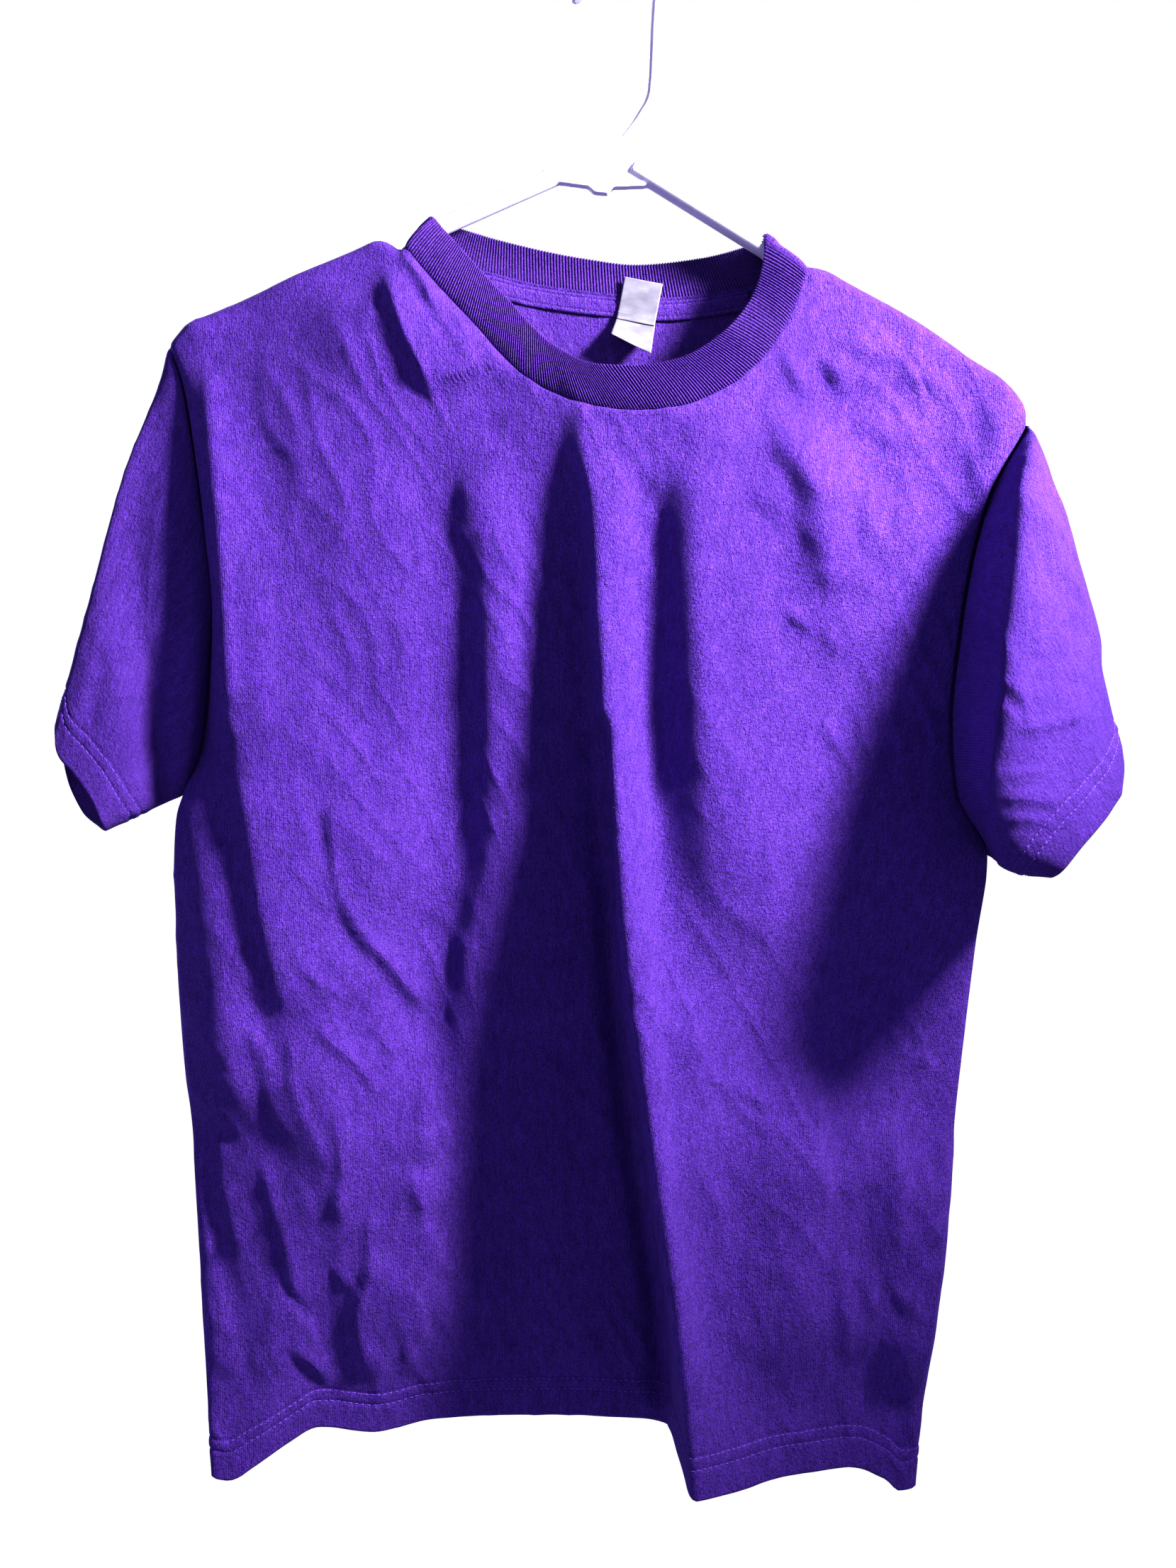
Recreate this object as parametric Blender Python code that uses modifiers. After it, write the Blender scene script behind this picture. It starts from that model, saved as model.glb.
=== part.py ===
"""A jersey T-shirt hanging on a white plastic tubular hanger.

The frame is in metres with +Z up. The origin is the inner top of the hook, where a rail or a nail would
carry the hanger. The shirt's front faces -Y and +X is to the right as one looks at that front. Names that
say left or right mean the wearer's, so the wearer's right sleeve is at -X.

Each cut piece is a wall of cloth. The body's panels are lofted through plan sections: a section gives, at
one height, the place of each large fold. The sleeves are lofted through rings from armhole to cuff.
Sizes in the tables are in millimetres.
"""
import math

import bmesh
import bpy
import numpy as np
from mathutils import Matrix, Vector

MM = 0.001

# ---- hanger ----------------------------------------------------------------------------------------------
HANGER_ROLL = math.radians(3.9)       # the hanger hangs with its +X end lower
ARM_PITCH = math.radians(27.9)        # fall of each arm below the hanger's own horizontal
APEX_X = -4.2                         # where the top lines of the two arms would meet
APEX_Z = -105.6
ARM_RADIUS = 5.0
ARM_START = 14.0                      # the arms run into the gusset here, from the apex along the horizontal
ARM_END = 208.0                       # and here the end bends start
END_BEND = 10.5                       # centre-line radius of the bend from arm to lower bar
NOTCH_AT = 105.5                      # strap notch, from the apex along the horizontal
NOTCH_DEPTH = 15.0
NOTCH_HALF = 16.5
ROD_RADIUS = 3.5                      # hook and shank
HOOK_RADIUS = 23.0                    # centre line of the hook
HOOK_TAIL = math.radians(24)          # how far the hook runs on below its free side's centre
SHANK = ((21.5, -40.0), (19.6, -78.0), (18.4, -84.0), (13.6, -92.5), (5.0, -108.0))
GUSSET = ((-40, -121.5), (-33, -128), (-16, -130.3), (-12.8, -133.4), (-5.5, -134.2), (-2.1, -130.7), (14, -130.3),
          (23, -127.5), (8.5, -113.3), (10.4, -109), (17.0, -94.5), (10.6, -92.5), (2.0, -104.2), (-1, -105.4))
GUSSET_THICKNESS = 5.4

# ---- cloth -----------------------------------------------------------------------------------------------
CLOTH = 1.2                           # jersey wall
RIB = 2.0                             # folded rib of the neckband
TAPE = 0.8
SEAM_GAP = 0.5                        # between pieces that are sewn together
SLEEVE_SET = (1.0, 0.4)               # how far a sleeve's end stands off the armhole edge, sideways and along it
CROWN_GAP = 0.5                       # between the top of an arm and the cloth that lies on it
CROWN_ROUND = 8.0                     # height over which the cloth rounds over an arm
NECK_LEFT_X = 102.0                   # neck points, where shoulder seam and neckline meet
NECK_RIGHT_X = -114.3

# Side seam and armhole edges: height, distance from the mid line, depth of the front's and the back's edge.
EDGE_COLUMNS = ("z", "x", "front", "back")
RIGHT_EDGE = (
    (-818, -214.0, -20.0, -20.0),
    (-732, -221.0, -12.0, -12.0),
    (-640, -228.5, -4.0, -4.0),
    (-594, -234.0, 0.0, 0.0),
    (-556, -237.0, 3.0, 3.0),
    (-507, -238.5, 5.0, 5.0),
    (-457, -234.0, 6.0, 6.0),         # underarm
    (-434, -225.0, 1.0, 12.0),
    (-393, -219.5, -4.0, 16.0),
    (-355, -217.0, -6.0, 16.0),
    (-309, -222.5, -8.0, 13.0),
    (-274, -227.5, -8.5, 10.0),
    (-238, -234.0, -8.5, 8.5),
    (-217.5, -241.5, -8.5, 8.5),      # shoulder point
)
LEFT_EDGE = (
    (-818, 154.5, -30.0, -30.0),
    (-786, 158.0, -28.0, -28.0),
    (-748, 163.0, -24.0, -24.0),
    (-703, 170.0, -18.0, -18.0),
    (-659, 176.5, -12.0, -12.0),
    (-594, 186.0, -4.0, -4.0),
    (-540, 194.5, 2.0, 2.0),
    (-492, 202.0, 6.0, 6.0),          # underarm
    (-459, 184.0, 0.0, 14.0),
    (-417, 179.5, -6.0, 18.0),
    (-373, 183.5, -9.0, 18.0),
    (-302, 198.5, -9.0, 14.0),
    (-262.5, 219.5, -9.0, 9.0),       # shoulder point
)
RIGHT_UNDERARM_Z = -457
LEFT_UNDERARM_Z = -492

# Plan sections of the front: at each height, x and depth of every large fold, from the wearer's right side
# to the left. Negative depths stand forward.
FRONT_FOLDS = ("lobe", "flank", "slot", "small_ridge", "recess", "foot", "crest", "valley", "shelf", "chest")
FRONT_SECTIONS = (
    (-170, (-206, -9), (-150, -9), (-115, -9), (-78, -12), (-48, -18), (-30, -21), (-14, -23), (20, -25),
     (58, -20), (140, -9)),
    (-250, (-213, -17), (-152, -14), (-92, -13), (-70, -17), (-47, -22), (-32, -25), (-19, -28), (20, -30),
     (56, -26), (140, -14)),
    (-320, (-208, -26), (-155, -20), (-87, -12), (-68, -19), (-42, -15), (-22, -14), (-12, -31), (20, -21),
     (43, -30), (130, -16)),
    (-400, (-201, -30), (-150, -20), (-84, -6), (-67, -15), (-38, -7), (-18, -4), (-8, -34), (20, -19),
     (45, -31), (125, -12)),
    (-480, (-188, -31), (-143, -18), (-84, 2), (-66, -7), (-36, 0), (-14, 3), (-5, -38), (22, -23),
     (48, -35), (122, -12)),
    (-560, (-176, -31), (-139, -17), (-94, 5), (-81, -2), (-42, 6), (-7, 8), (0, -45), (28, -32),
     (53, -40), (119, -15)),
    (-640, (-173, -30), (-139, -16), (-98, 8), (-84, 4), (-45, 12), (3, 12), (9, -55), (37, -44),
     (61, -47), (118, -25)),
    (-720, (-180, -28), (-146, -13), (-106, 8), (-86, 9), (-45, 15), (14, 14), (20, -64), (46, -56),
     (72, -54), (117, -37)),
    (-815, (-196, -27), (-165, -9), (-130, 6), (-100, 9), (-45, 15), (27, 11), (41, -71), (58, -71),
     (84, -60), (119, -46)),
)
# The same for the back, which hangs in three soft outward folds.
BACK_FOLDS = ("side_ridge", "side_hollow", "ridge", "hollow", "far_ridge")
BACK_SECTIONS = (
    (-165, (-170, 9), (-100, 12), (-30, 20), (30, 20), (110, 10)),
    (-260, (-175, 16), (-105, 19), (-30, 25), (30, 24), (130, 17)),
    (-340, (-180, 22), (-108, 22), (-32, 31), (28, 26), (128, 25)),
    (-440, (-182, 28), (-110, 24), (-34, 40), (26, 28), (120, 33)),
    (-560, (-182, 31), (-112, 26), (-36, 48), (24, 30), (112, 40)),
    (-690, (-180, 33), (-112, 28), (-38, 56), (22, 32), (104, 46)),
    (-815, (-176, 34), (-112, 30), (-38, 62), (22, 34), (98, 50)),
)
SIDE_TURN = 7.0                       # radius of the rounded fold at a side seam

# Hem line: x and height of the lower edge, front and back.
FRONT_HEM = ((-214, -818), (-205, -820), (-192, -814), (-175, -805), (-160, -799), (-130, -803), (-100, -800),
             (-45, -802), (15, -803), (36, -806), (56, -806), (84, -805), (118, -804), (137, -811),
             (146, -818), (154.5, -818))
BACK_HEM = ((-214, -818), (-176, -812), (-112, -806), (-38, -808), (22, -806), (98, -812), (154.5, -818))

# Necklines: x and height of the seam between panel and neckband.
FRONT_NECKLINE = ((-105.8, -175), (-79, -205), (-48, -238), (-17, -253), (8.5, -257), (28, -255.5),
                  (59, -243), (83, -219), (97, -190))
BACK_NECKLINE = ((-98, -168.5), (-76.5, -170), (-49, -175.5), (-1, -181.5), (25, -183.5), (69, -179.5),
                 (92, -176.5))

# Free edge of the neckband: share of the way along the seam, then x, depth and height.
FRONT_BAND_EDGE = (
    (0.00, -101.5, 0.0, -147.2),
    (0.03, -99.0, -6.5, -149.8),
    (0.07, -92.5, -10.5, -158.0),
    (0.28, -59.0, -17.0, -196.0),
    (0.43, -32.0, -24.0, -224.0),
    (0.53, -11.0, -28.0, -234.0),
    (0.59, 8.5, -30.0, -235.5),
    (0.67, 30.0, -29.0, -232.0),
    (0.79, 56.0, -24.0, -216.0),
    (0.88, 73.5, -16.0, -192.0),
    (0.94, 78.8, -11.0, -174.5),
    (0.97, 80.2, -7.0, -163.0),
    (1.00, 80.5, 0.0, -156.8),
)
BACK_BAND_EDGE = (
    (0.00, -101.5, 0.0, -147.2),
    (0.05, -97.5, 7.0, -147.8),
    (0.10, -89.0, 10.5, -149.0),
    (0.24, -65.0, 15.0, -154.5),
    (0.46, -17.0, 20.5, -163.0),
    (0.58, 10.0, 21.5, -166.0),
    (0.76, 47.0, 17.5, -163.5),
    (0.90, 70.0, 11.0, -159.5),
    (0.96, 77.5, 7.0, -157.6),
    (1.00, 80.5, 0.0, -156.8),
)
BAND_CROWN = 1.0                      # how far the band's middle stands proud of its edges

# Sleeve rings between armhole and cuff, each from the top down the front to the underside and back up.
RING_POINTS = ("top", "front_1", "front_2", "front_3", "front_4", "under", "back_4", "back_3", "back_2", "back_1")
RIGHT_SLEEVE_RINGS = (
    (0.16, (-247, -3, -236), (-239, -14, -280), (-229, -15, -335), (-226, -15, -385), (-229, -10, -430),
     (-236, 5, -459), (-229, 22, -430), (-227, 25, -385), (-231, 24, -330), (-240, 16, -275)),
    (0.45, (-262.5, -10, -282), (-254, -26, -318), (-244, -29, -360), (-240, -28, -402), (-240, -22, -440),
     (-243, -2, -463), (-245, 25, -442), (-246, 38, -402), (-251, 36, -352), (-259, 18, -305)),
    (0.75, (-279.5, -20, -357), (-273, -36, -380), (-263, -39, -405), (-254, -38, -430), (-249, -33, -454),
     (-252, -14, -468), (-262, 22, -464), (-275, 47, -440), (-285, 44, -402), (-285.5, 16, -371)),
    (1.00, (-295, -27, -424), (-290, -38, -438), (-280, -41, -449), (-271, -43, -461), (-266, -42, -473),
     (-270, -24, -478), (-285, 12, -477), (-305, 46, -470), (-316, 52, -452), (-308, 16, -431)),
)
LEFT_SLEEVE_RINGS = (
    (0.14, (225, -9, -268), (206.4, -41, -300.4), (194.4, -56, -350.8), (188.5, -66, -400.7), (185.5, -65, -450),
     (201.1, -13, -493.8), (210, 24, -468), (207, 32, -405), (210, 30, -345), (222, 16, -288)),
    (0.45, (233.7, -26, -316.2), (215.9, -57, -353.3), (204.3, -74, -393.6), (195.9, -84, -430.7), (191.1, -82, -465.6),
     (201, -40, -496.3), (221, 20, -480), (226, 34, -425), (231, 30, -370), (238, 4, -328)),
    (0.75, (247, -36, -378.3), (233, -63, -401), (221.1, -81, -426), (208, -93, -452), (199.3, -93, -480.7),
     (204.5, -61, -498.5), (228.4, 12, -489.9), (245, 35, -452), (252, 30, -412), (256, 0, -383)),
    (1.00, (260.2, -39, -443), (251.2, -63, -456), (241, -79, -467.5), (224.8, -92, -482.5), (213.9, -95, -494.8),
     (212.9, -78, -499), (230.9, -2, -496.6), (251, 42, -480), (266, 38, -455), (268, 0, -442)),
)

# Care label: one page turned up over the tape and band, one hanging and curling forward.
LABEL_X = 11.0
LABEL_WIDTH = 21.5
LABEL_TILT = math.radians(-11)
LABEL_THICKNESS = 0.6
LABEL_FOOT_Z = -196.0                 # height of its stitched line, at the tape's lower edge
LABEL_CURL = 2.5                      # how much further its lower end curls on one side
LABEL_PROFILE = ((16.6, 22.0), (17.2, 13.0), (17.7, 6.5), (17.7, 1.0), (16.6, -3.0), (13.8, -8.0), (10.5, -12.0),
                 (6.5, -15.5))        # depth and height above the stitched line


# ---- curves ----------------------------------------------------------------------------------------------
def smooth(knots, values, at):
    """Values at given places of a smooth curve through the knots that doesn't overshoot them."""
    knots = np.asarray(knots, float)
    values = np.asarray(values, float)
    at = np.clip(at, knots[0], knots[-1])
    step = np.diff(knots)
    rise = np.diff(values) / step
    slope = np.zeros_like(values)
    inner = rise[:-1] * rise[1:] > 0
    weight_a = 2 * step[1:] + step[:-1]
    weight_b = step[1:] + 2 * step[:-1]
    safe_a = np.where(inner, rise[:-1], 1.0)
    safe_b = np.where(inner, rise[1:], 1.0)
    slope[1:-1] = np.where(inner, (weight_a + weight_b) / (weight_a / safe_a + weight_b / safe_b), 0.0)
    slope[0], slope[-1] = rise[0], rise[-1]
    span = np.clip(np.searchsorted(knots, at, side="right") - 1, 0, len(step) - 1)
    t = (at - knots[span]) / step[span]
    a, b = values[span], values[span + 1]
    return (a * (1 + 2 * t) * (1 - t) ** 2 + slope[span] * step[span] * t * (1 - t) ** 2
            + b * t * t * (3 - 2 * t) + slope[span + 1] * step[span] * t * t * (t - 1))


def table(rows, column, at):
    """One column of a table whose first column is the place along it."""
    rows = sorted(rows)
    return smooth([row[0] for row in rows], [row[column] for row in rows], at)


def lengths_along(points):
    """Distance from the first point along a line of points."""
    steps = np.linalg.norm(np.diff(points, axis=0), axis=1)
    return np.concatenate([[0.0], np.cumsum(steps)])


def line_through(points, count):
    """Evenly spaced points on a smooth line through the given points."""
    points = np.asarray(points, float)
    along = lengths_along(points)
    fine = np.linspace(0, along[-1], count * 4)
    dense = np.stack([smooth(along, points[:, k], fine) for k in range(points.shape[1])], axis=1)
    dense_along = lengths_along(dense)
    even = np.linspace(0, dense_along[-1], count)
    return np.stack([np.interp(even, dense_along, dense[:, k]) for k in range(points.shape[1])], axis=1)


def ring_through(points, at):
    """Points of a closed Catmull-Rom ring, where place k is the k-th given point."""
    points = np.asarray(points, float)
    count = len(points)
    base = np.floor(at).astype(int)
    t = (at - base)[:, None]
    p0, p1, p2, p3 = (points[(base + k) % count] for k in (-1, 0, 1, 2))
    return 0.5 * (2 * p1 + (p2 - p0) * t + (2 * p0 - 5 * p1 + 4 * p2 - p3) * t ** 2
                  + (3 * p1 - p0 - 3 * p2 + p3) * t ** 3)


# ---- hanger lines ----------------------------------------------------------------------------------------
def rolled(along, height):
    """From the hanger's own level frame, with the arms' apex at zero, to x and z."""
    x = APEX_X + along * math.cos(HANGER_ROLL) + height * math.sin(HANGER_ROLL)
    z = APEX_Z - along * math.sin(HANGER_ROLL) + height * math.cos(HANGER_ROLL)
    return np.stack([x, z], axis=-1)


def arm_line(along, notch_share=1.0):
    """Centre line of the arms, in the hanger's own frame."""
    away = np.abs(along)
    reach = np.clip((away - NOTCH_AT) / NOTCH_HALF, -1, 1)
    notch = notch_share * NOTCH_DEPTH * (0.5 + 0.5 * np.cos(np.pi * reach))
    return -ARM_RADIUS / math.cos(ARM_PITCH) - math.tan(ARM_PITCH) * away - notch


def cloth_crown():
    """x and height of the line along which the cloth lies on the arms, drooping past their ends."""
    along = np.linspace(-250, 250, 1001)
    sag = np.where(along < 0, 0.92, 0.3)          # the rib bridges the notch on the wearer's left
    line = rolled(along, arm_line(along, sag))
    x = np.linspace(-245, 224, 939)
    radius = ARM_RADIUS + CROWN_GAP + CLOTH
    off = x[:, None] - line[None, :, 0]
    height = np.where(np.abs(off) < radius, line[None, :, 1] + np.sqrt(np.clip(radius ** 2 - off ** 2, 0, None)), -999)
    droop = np.clip(-226 - x, 0, None) ** 2 / 34 + np.clip(x - 203, 0, None) ** 2 / 17
    return x, height.max(axis=1) - droop


CROWN_X, CROWN_Z = cloth_crown()


def crown(x):
    """Height of the cloth where it lies over the arms."""
    return np.interp(x, CROWN_X, CROWN_Z)


# ---- body panels -----------------------------------------------------------------------------------------
class Panel:
    """One body panel as a surface: place across it (0 to 1) and height give x and depth."""

    def __init__(self, sections, facing, edge_column, hem, neckline):
        self.sections = sections
        self.facing = facing          # -1 for the front, +1 for the back
        self.edge_column = edge_column
        self.hem = hem
        ends = [(x, float(crown(x))) for x in (NECK_RIGHT_X, NECK_LEFT_X)]
        self.neckline = [ends[0], *neckline, ends[1]]
        self.heights = np.linspace(-825, -140, 138)
        self.across = np.linspace(0, 1, 241)
        self.plans = np.stack([self.plan(z) for z in self.heights])

    def plan(self, z):
        """Evenly spaced points of the panel's plan at one height."""
        ends = []
        for edge, underarm, inward in ((RIGHT_EDGE, RIGHT_UNDERARM_Z, 1), (LEFT_EDGE, LEFT_UNDERARM_Z, -1)):
            x = float(table(edge, 1, z))
            y = float(table(edge, self.edge_column, z)) + self.facing * SEAM_GAP / 2
            closed = min(max((underarm + 42 - z) / 40, 0.0), 1.0)
            turn = SIDE_TURN * closed + 0.8 * (1 - closed)
            ends.append([(x, y), (x + inward * 0.05, y + self.facing * 0.3 * turn),
                         (x + inward * 0.3 * turn, y + self.facing * 0.75 * turn)])
        folds = [(float(table([(row[0], row[k][0]) for row in self.sections], 1, z)),
                  float(table([(row[0], row[k][1]) for row in self.sections], 1, z)))
                 for k in range(1, len(self.sections[0]))]
        return line_through(ends[0] + folds + ends[1][::-1], len(self.across))

    def at(self, across, z):
        """x and depth for arrays of places across and heights, rounded over the arms."""
        row = np.clip((z - self.heights[0]) / (self.heights[1] - self.heights[0]), 0, len(self.heights) - 1.001)
        col = np.clip(across * (len(self.across) - 1), 0, len(self.across) - 1.001)
        r, c = row.astype(int), col.astype(int)
        fr, fc = (row - r)[..., None], (col - c)[..., None]
        plans = self.plans
        xy = ((plans[r, c] * (1 - fc) + plans[r, c + 1] * fc) * (1 - fr)
              + (plans[r + 1, c] * (1 - fc) + plans[r + 1, c + 1] * fc) * fr)
        below = np.clip((crown(xy[..., 0]) - z) / CROWN_ROUND, 0, 1)
        rounded = np.sqrt(np.clip(1 - (1 - below) ** 2, 0, 1))
        y = self.facing * SEAM_GAP / 2 + (xy[..., 1] - self.facing * SEAM_GAP / 2) * rounded
        return xy[..., 0], y

    def top(self, x):
        """Height of the panel's top edge above x: shoulder, neckline, shoulder."""
        neck = table(self.neckline, 1, x)
        inside = (x > NECK_RIGHT_X) & (x < NECK_LEFT_X)
        return np.where(inside, np.minimum(neck, crown(x)), crown(x))

    def top_height(self, across):
        """Height where each place across meets the top edge."""
        low = np.full_like(across, -400.0)
        high = np.full_like(across, -141.0)
        for _ in range(40):
            middle = (low + high) / 2
            x, _ = self.at(across, middle)
            under = middle < self.top(x)
            low = np.where(under, middle, low)
            high = np.where(under, high, middle)
        return (low + high) / 2

    def grid(self, hem_across, top_rows, body_rows, shoulder_shares, neck_shares):
        """Rows from top edge to hem, with as many columns on each shoulder and round the neck as there are
        shares. Shoulder shares count from the neck point out."""
        fine = np.linspace(0, 1, 1601)
        fine_z = self.top_height(fine)
        fine_x, fine_y = self.at(fine, fine_z)
        along = lengths_along(np.stack([fine_x, fine_y, fine_z], axis=1))
        right, left = np.interp((NECK_RIGHT_X, NECK_LEFT_X), fine_x, along)
        shoulder = np.asarray(shoulder_shares)
        top_along = np.concatenate([right - right * shoulder[:0:-1],
                                    right + (left - right) * np.asarray(neck_shares),
                                    left + (along[-1] - left) * shoulder[1:]])
        top_across = np.interp(top_along, along, fine)

        rows = []
        for drop, share in [(d, 0.0) for d in top_rows] + [(top_rows[-1], s) for s in body_rows[1:]]:
            fade = min(max(1 - share / 0.5, 0), 1)
            blend = fade * fade * (3 - 2 * fade)
            across = top_across * blend + hem_across * (1 - blend)
            upper = self.top_height(across) - drop
            x_low, _ = self.at(across, np.full_like(across, -810.0))
            lower = table(self.hem, 1, x_low)
            z = upper + (lower - upper) * share
            x, y = self.at(across, z)
            rows.append(np.stack([x, y, z], axis=1))
        return off_the_arms(np.stack(rows), CLOTH)


def spread(count, edge_steps, length=465.0):
    """Places from 0 to 1 across a panel, with narrow columns at both edges."""
    steps = np.array(edge_steps) / length
    middle = np.linspace(steps[-1], 1 - steps[-1], count - 2 * len(steps) + 2)
    return np.concatenate([steps[:-1], middle, 1 - steps[-2::-1]])


# ---- meshes ----------------------------------------------------------------------------------------------
def material(name, colour, roughness, metallic=0.0):
    made = bpy.data.materials.new(name)
    made.use_nodes = True
    shader = made.node_tree.nodes["Principled BSDF"]
    shader.inputs["Base Color"].default_value = (*colour, 1.0)
    shader.inputs["Roughness"].default_value = roughness
    shader.inputs["Metallic"].default_value = metallic
    return made


def sheet(name, rows, look, thickness, facing=1, ring=False):
    """A wall of cloth from rows of points in millimetres, its given side outermost."""
    rows = np.asarray(rows) * MM
    height, width = rows.shape[:2]
    vertices = rows.reshape(-1, 3)
    faces = []
    for r in range(height - 1):
        for c in range(width if ring else width - 1):
            d = (c + 1) % width
            corners = (r * width + c, (r + 1) * width + c, (r + 1) * width + d, r * width + d)
            faces.append(corners if facing > 0 else corners[::-1])
    mesh = bpy.data.meshes.new(name)
    mesh.from_pydata(vertices.tolist(), [], faces)
    mesh.materials.append(look)
    mesh.shade_smooth()
    made = bpy.data.objects.new(name, mesh)
    wall = made.modifiers.new("wall", "SOLIDIFY")
    wall.thickness = thickness * MM
    wall.offset = -1.0
    wall.use_rim = True
    return made


def outward(rows, ring=False):
    """Unit normals of a grid of points, by differences along its rows and columns."""
    down = np.gradient(rows, axis=0)
    if ring:
        side = (np.roll(rows, -1, axis=1) - np.roll(rows, 1, axis=1)) / 2
    else:
        side = np.gradient(rows, axis=1)
    normal = np.cross(down, side)
    return normal / np.linalg.norm(normal, axis=2, keepdims=True)


# ---- pieces of the shirt ---------------------------------------------------------------------------------
NECK_SHARES = (0, 0.012, 0.027, 0.05, 0.09, 0.16, 0.26, 0.38, 0.50)               # half way round a neckline
NECK_SHARES = NECK_SHARES + tuple(1 - share for share in NECK_SHARES[-2::-1])
FRONT_SHOULDER = (0, 0.035, 0.07, 0.11, 0.16, 0.24, 0.38, 0.55, 0.70, 0.79, 0.88, 0.95, 0.99, 1)
BACK_SHOULDER = (0, 0.04, 0.08, 0.13, 0.20, 0.32, 0.50, 0.68, 0.78, 0.87, 0.96, 1)
EDGE_STEPS = (0, 1.5, 4.5, 10, 19)                               # narrow columns beside the side seams
TOP_ROWS = (0, 0.15, 0.9, 2.6, 6.0, 11.5, 24.0, 42.0)            # below the top edge
TAPE_ROWS = (3, 6)                                               # the neck tape runs between these of them
BODY_ROWS = np.linspace(0, 1, 17)
TAPE_FROM = 5                                                    # and starts this many columns from a neck point
SLEEVE_AROUND = 22
SLEEVE_ALONG = 9
BAND_ROWS = (0.0, 0.25, 0.5, 0.75, 1.0)


def armhole_ring(front, back, side, places):
    """The sleeve's end of an armhole seam: place 0 at the shoulder, 5 at the underarm, 10 back at the shoulder."""
    across = 0.0 if side < 0 else 1.0
    underarm = RIGHT_UNDERARM_Z if side < 0 else LEFT_UNDERARM_Z
    ring = np.empty((len(places), 3))
    for panel, low, high in ((front, 0, 5), (back, 5, 10)):
        top = float(panel.top_height(np.array([across]))[0])
        z = top + (underarm - top) * np.linspace(0, 1, 400) ** 1.5
        x, y = panel.at(np.full_like(z, across), z)
        edge = np.stack([x, y, z], axis=1)
        along = lengths_along(edge)
        here = (places >= low) & (places <= high)
        share = (places[here] - low) / 5
        if panel is back:
            share = 1 - share
        ring[here] = np.stack([np.interp(share * along[-1], along, edge[:, k]) for k in range(3)], axis=1)
    return ring


def sleeve_rows(front, back, side, rings, around, along):
    """Rows of points of a sleeve, from the armhole to the cuff."""
    places = np.arange(around) * 10 / around
    armhole = armhole_ring(front, back, side, places)
    lofted = np.stack([armhole] + [ring_through(row[1:], places) for row in rings])
    along_sleeve = lofted[1] - armhole
    lofted[0] += along_sleeve / np.linalg.norm(along_sleeve, axis=1, keepdims=True) * SLEEVE_SET[1]
    lofted[0, :, 0] += side * SLEEVE_SET[0]
    marks = [0.0] + [row[0] for row in rings]
    steps = np.linspace(0, 1, along)
    rows = np.empty((along, around, 3))
    for c in range(around):
        for k in range(3):
            rows[:, c, k] = smooth(marks, lofted[:, c, k], steps)
    return rows


def band_rows(front_rows, back_rows):
    """Rows of the neckband from its free edge to the seam, on the panels' own neckline points."""
    front_seam = front_rows[0, len(FRONT_SHOULDER) - 1:][:len(NECK_SHARES)]
    back_seam = back_rows[0, len(BACK_SHOULDER) - 1:][:len(NECK_SHARES)]
    halves = []
    for seam, edge in ((front_seam, FRONT_BAND_EDGE), (back_seam, BACK_BAND_EDGE)):
        share = lengths_along(seam) / lengths_along(seam)[-1]
        free = np.stack([table(edge, k, share) for k in (1, 2, 3)], axis=1)
        halves.append((seam, free))
    (front_seam, front_free), (back_seam, back_free) = halves
    ring = []
    for front_line, back_line in ((front_free, back_free), (front_seam, back_seam)):
        start = (front_line[0] + back_line[0]) / 2
        end = (front_line[-1] + back_line[-1]) / 2
        ring.append(np.concatenate([[start], front_line[1:-1], [end], back_line[-2:0:-1]]))
    free, seam = ring
    width = np.linalg.norm(seam - free, axis=1, keepdims=True)
    seam = seam + (free - seam) / width * SEAM_GAP * 1.5
    rows = np.stack([free + (seam - free) * share for share in BAND_ROWS])
    proud = BAND_CROWN * np.sin(np.pi * np.array(BAND_ROWS))[:, None, None]
    return off_the_arms(rows + outward(rows, ring=True) * proud, RIB + 0.4)


def off_the_arms(rows, thickness):
    """The same points, moved straight away from the arms where a wall of this thickness would touch them."""
    line = frame_line()
    arms = np.stack([line[:, 0], np.zeros(len(line)), line[:, 1]], axis=1)
    start, step = arms[:-1], np.diff(arms, axis=0)
    off = rows[..., None, :] - start
    share = np.clip((off * step).sum(-1) / (step ** 2).sum(-1), 0, 1)
    away = off - share[..., None] * step
    distance = np.linalg.norm(away, axis=-1)
    nearest = distance.argmin(axis=-1)[..., None]
    distance = np.take_along_axis(distance, nearest, -1)
    away = np.take_along_axis(away, nearest[..., None], -2)[..., 0, :]
    clear = ARM_RADIUS + CROWN_GAP + thickness
    return rows + away / distance * np.clip(clear - distance, 0, None)


def tape_rows(back_rows):
    """Rows of the neck tape: the back panel's own points below the neckline, moved in off the panel."""
    first = len(BACK_SHOULDER) - 1
    below = back_rows[TAPE_ROWS[0]:TAPE_ROWS[1], first:first + len(NECK_SHARES)]
    return (below + outward(below) * (CLOTH + 0.42 + TAPE))[:, TAPE_FROM:len(NECK_SHARES) - TAPE_FROM]


def label_rows():
    """Rows of the care label from its upper end to its curled lower end."""
    profile = line_through(LABEL_PROFILE, 13)
    rows = []
    for depth, height in profile:
        curl = LABEL_CURL * min(height / 15, 0) ** 2
        row = []
        for share in (-0.5, -0.25, 0.0, 0.25, 0.5):
            off = share * LABEL_WIDTH
            x = LABEL_X + off * math.cos(LABEL_TILT) - height * math.sin(LABEL_TILT)
            z = LABEL_FOOT_Z + off * math.sin(LABEL_TILT) + height * math.cos(LABEL_TILT)
            row.append((x, depth - curl * share, z))
        rows.append(row)
    return np.array(rows)


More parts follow.
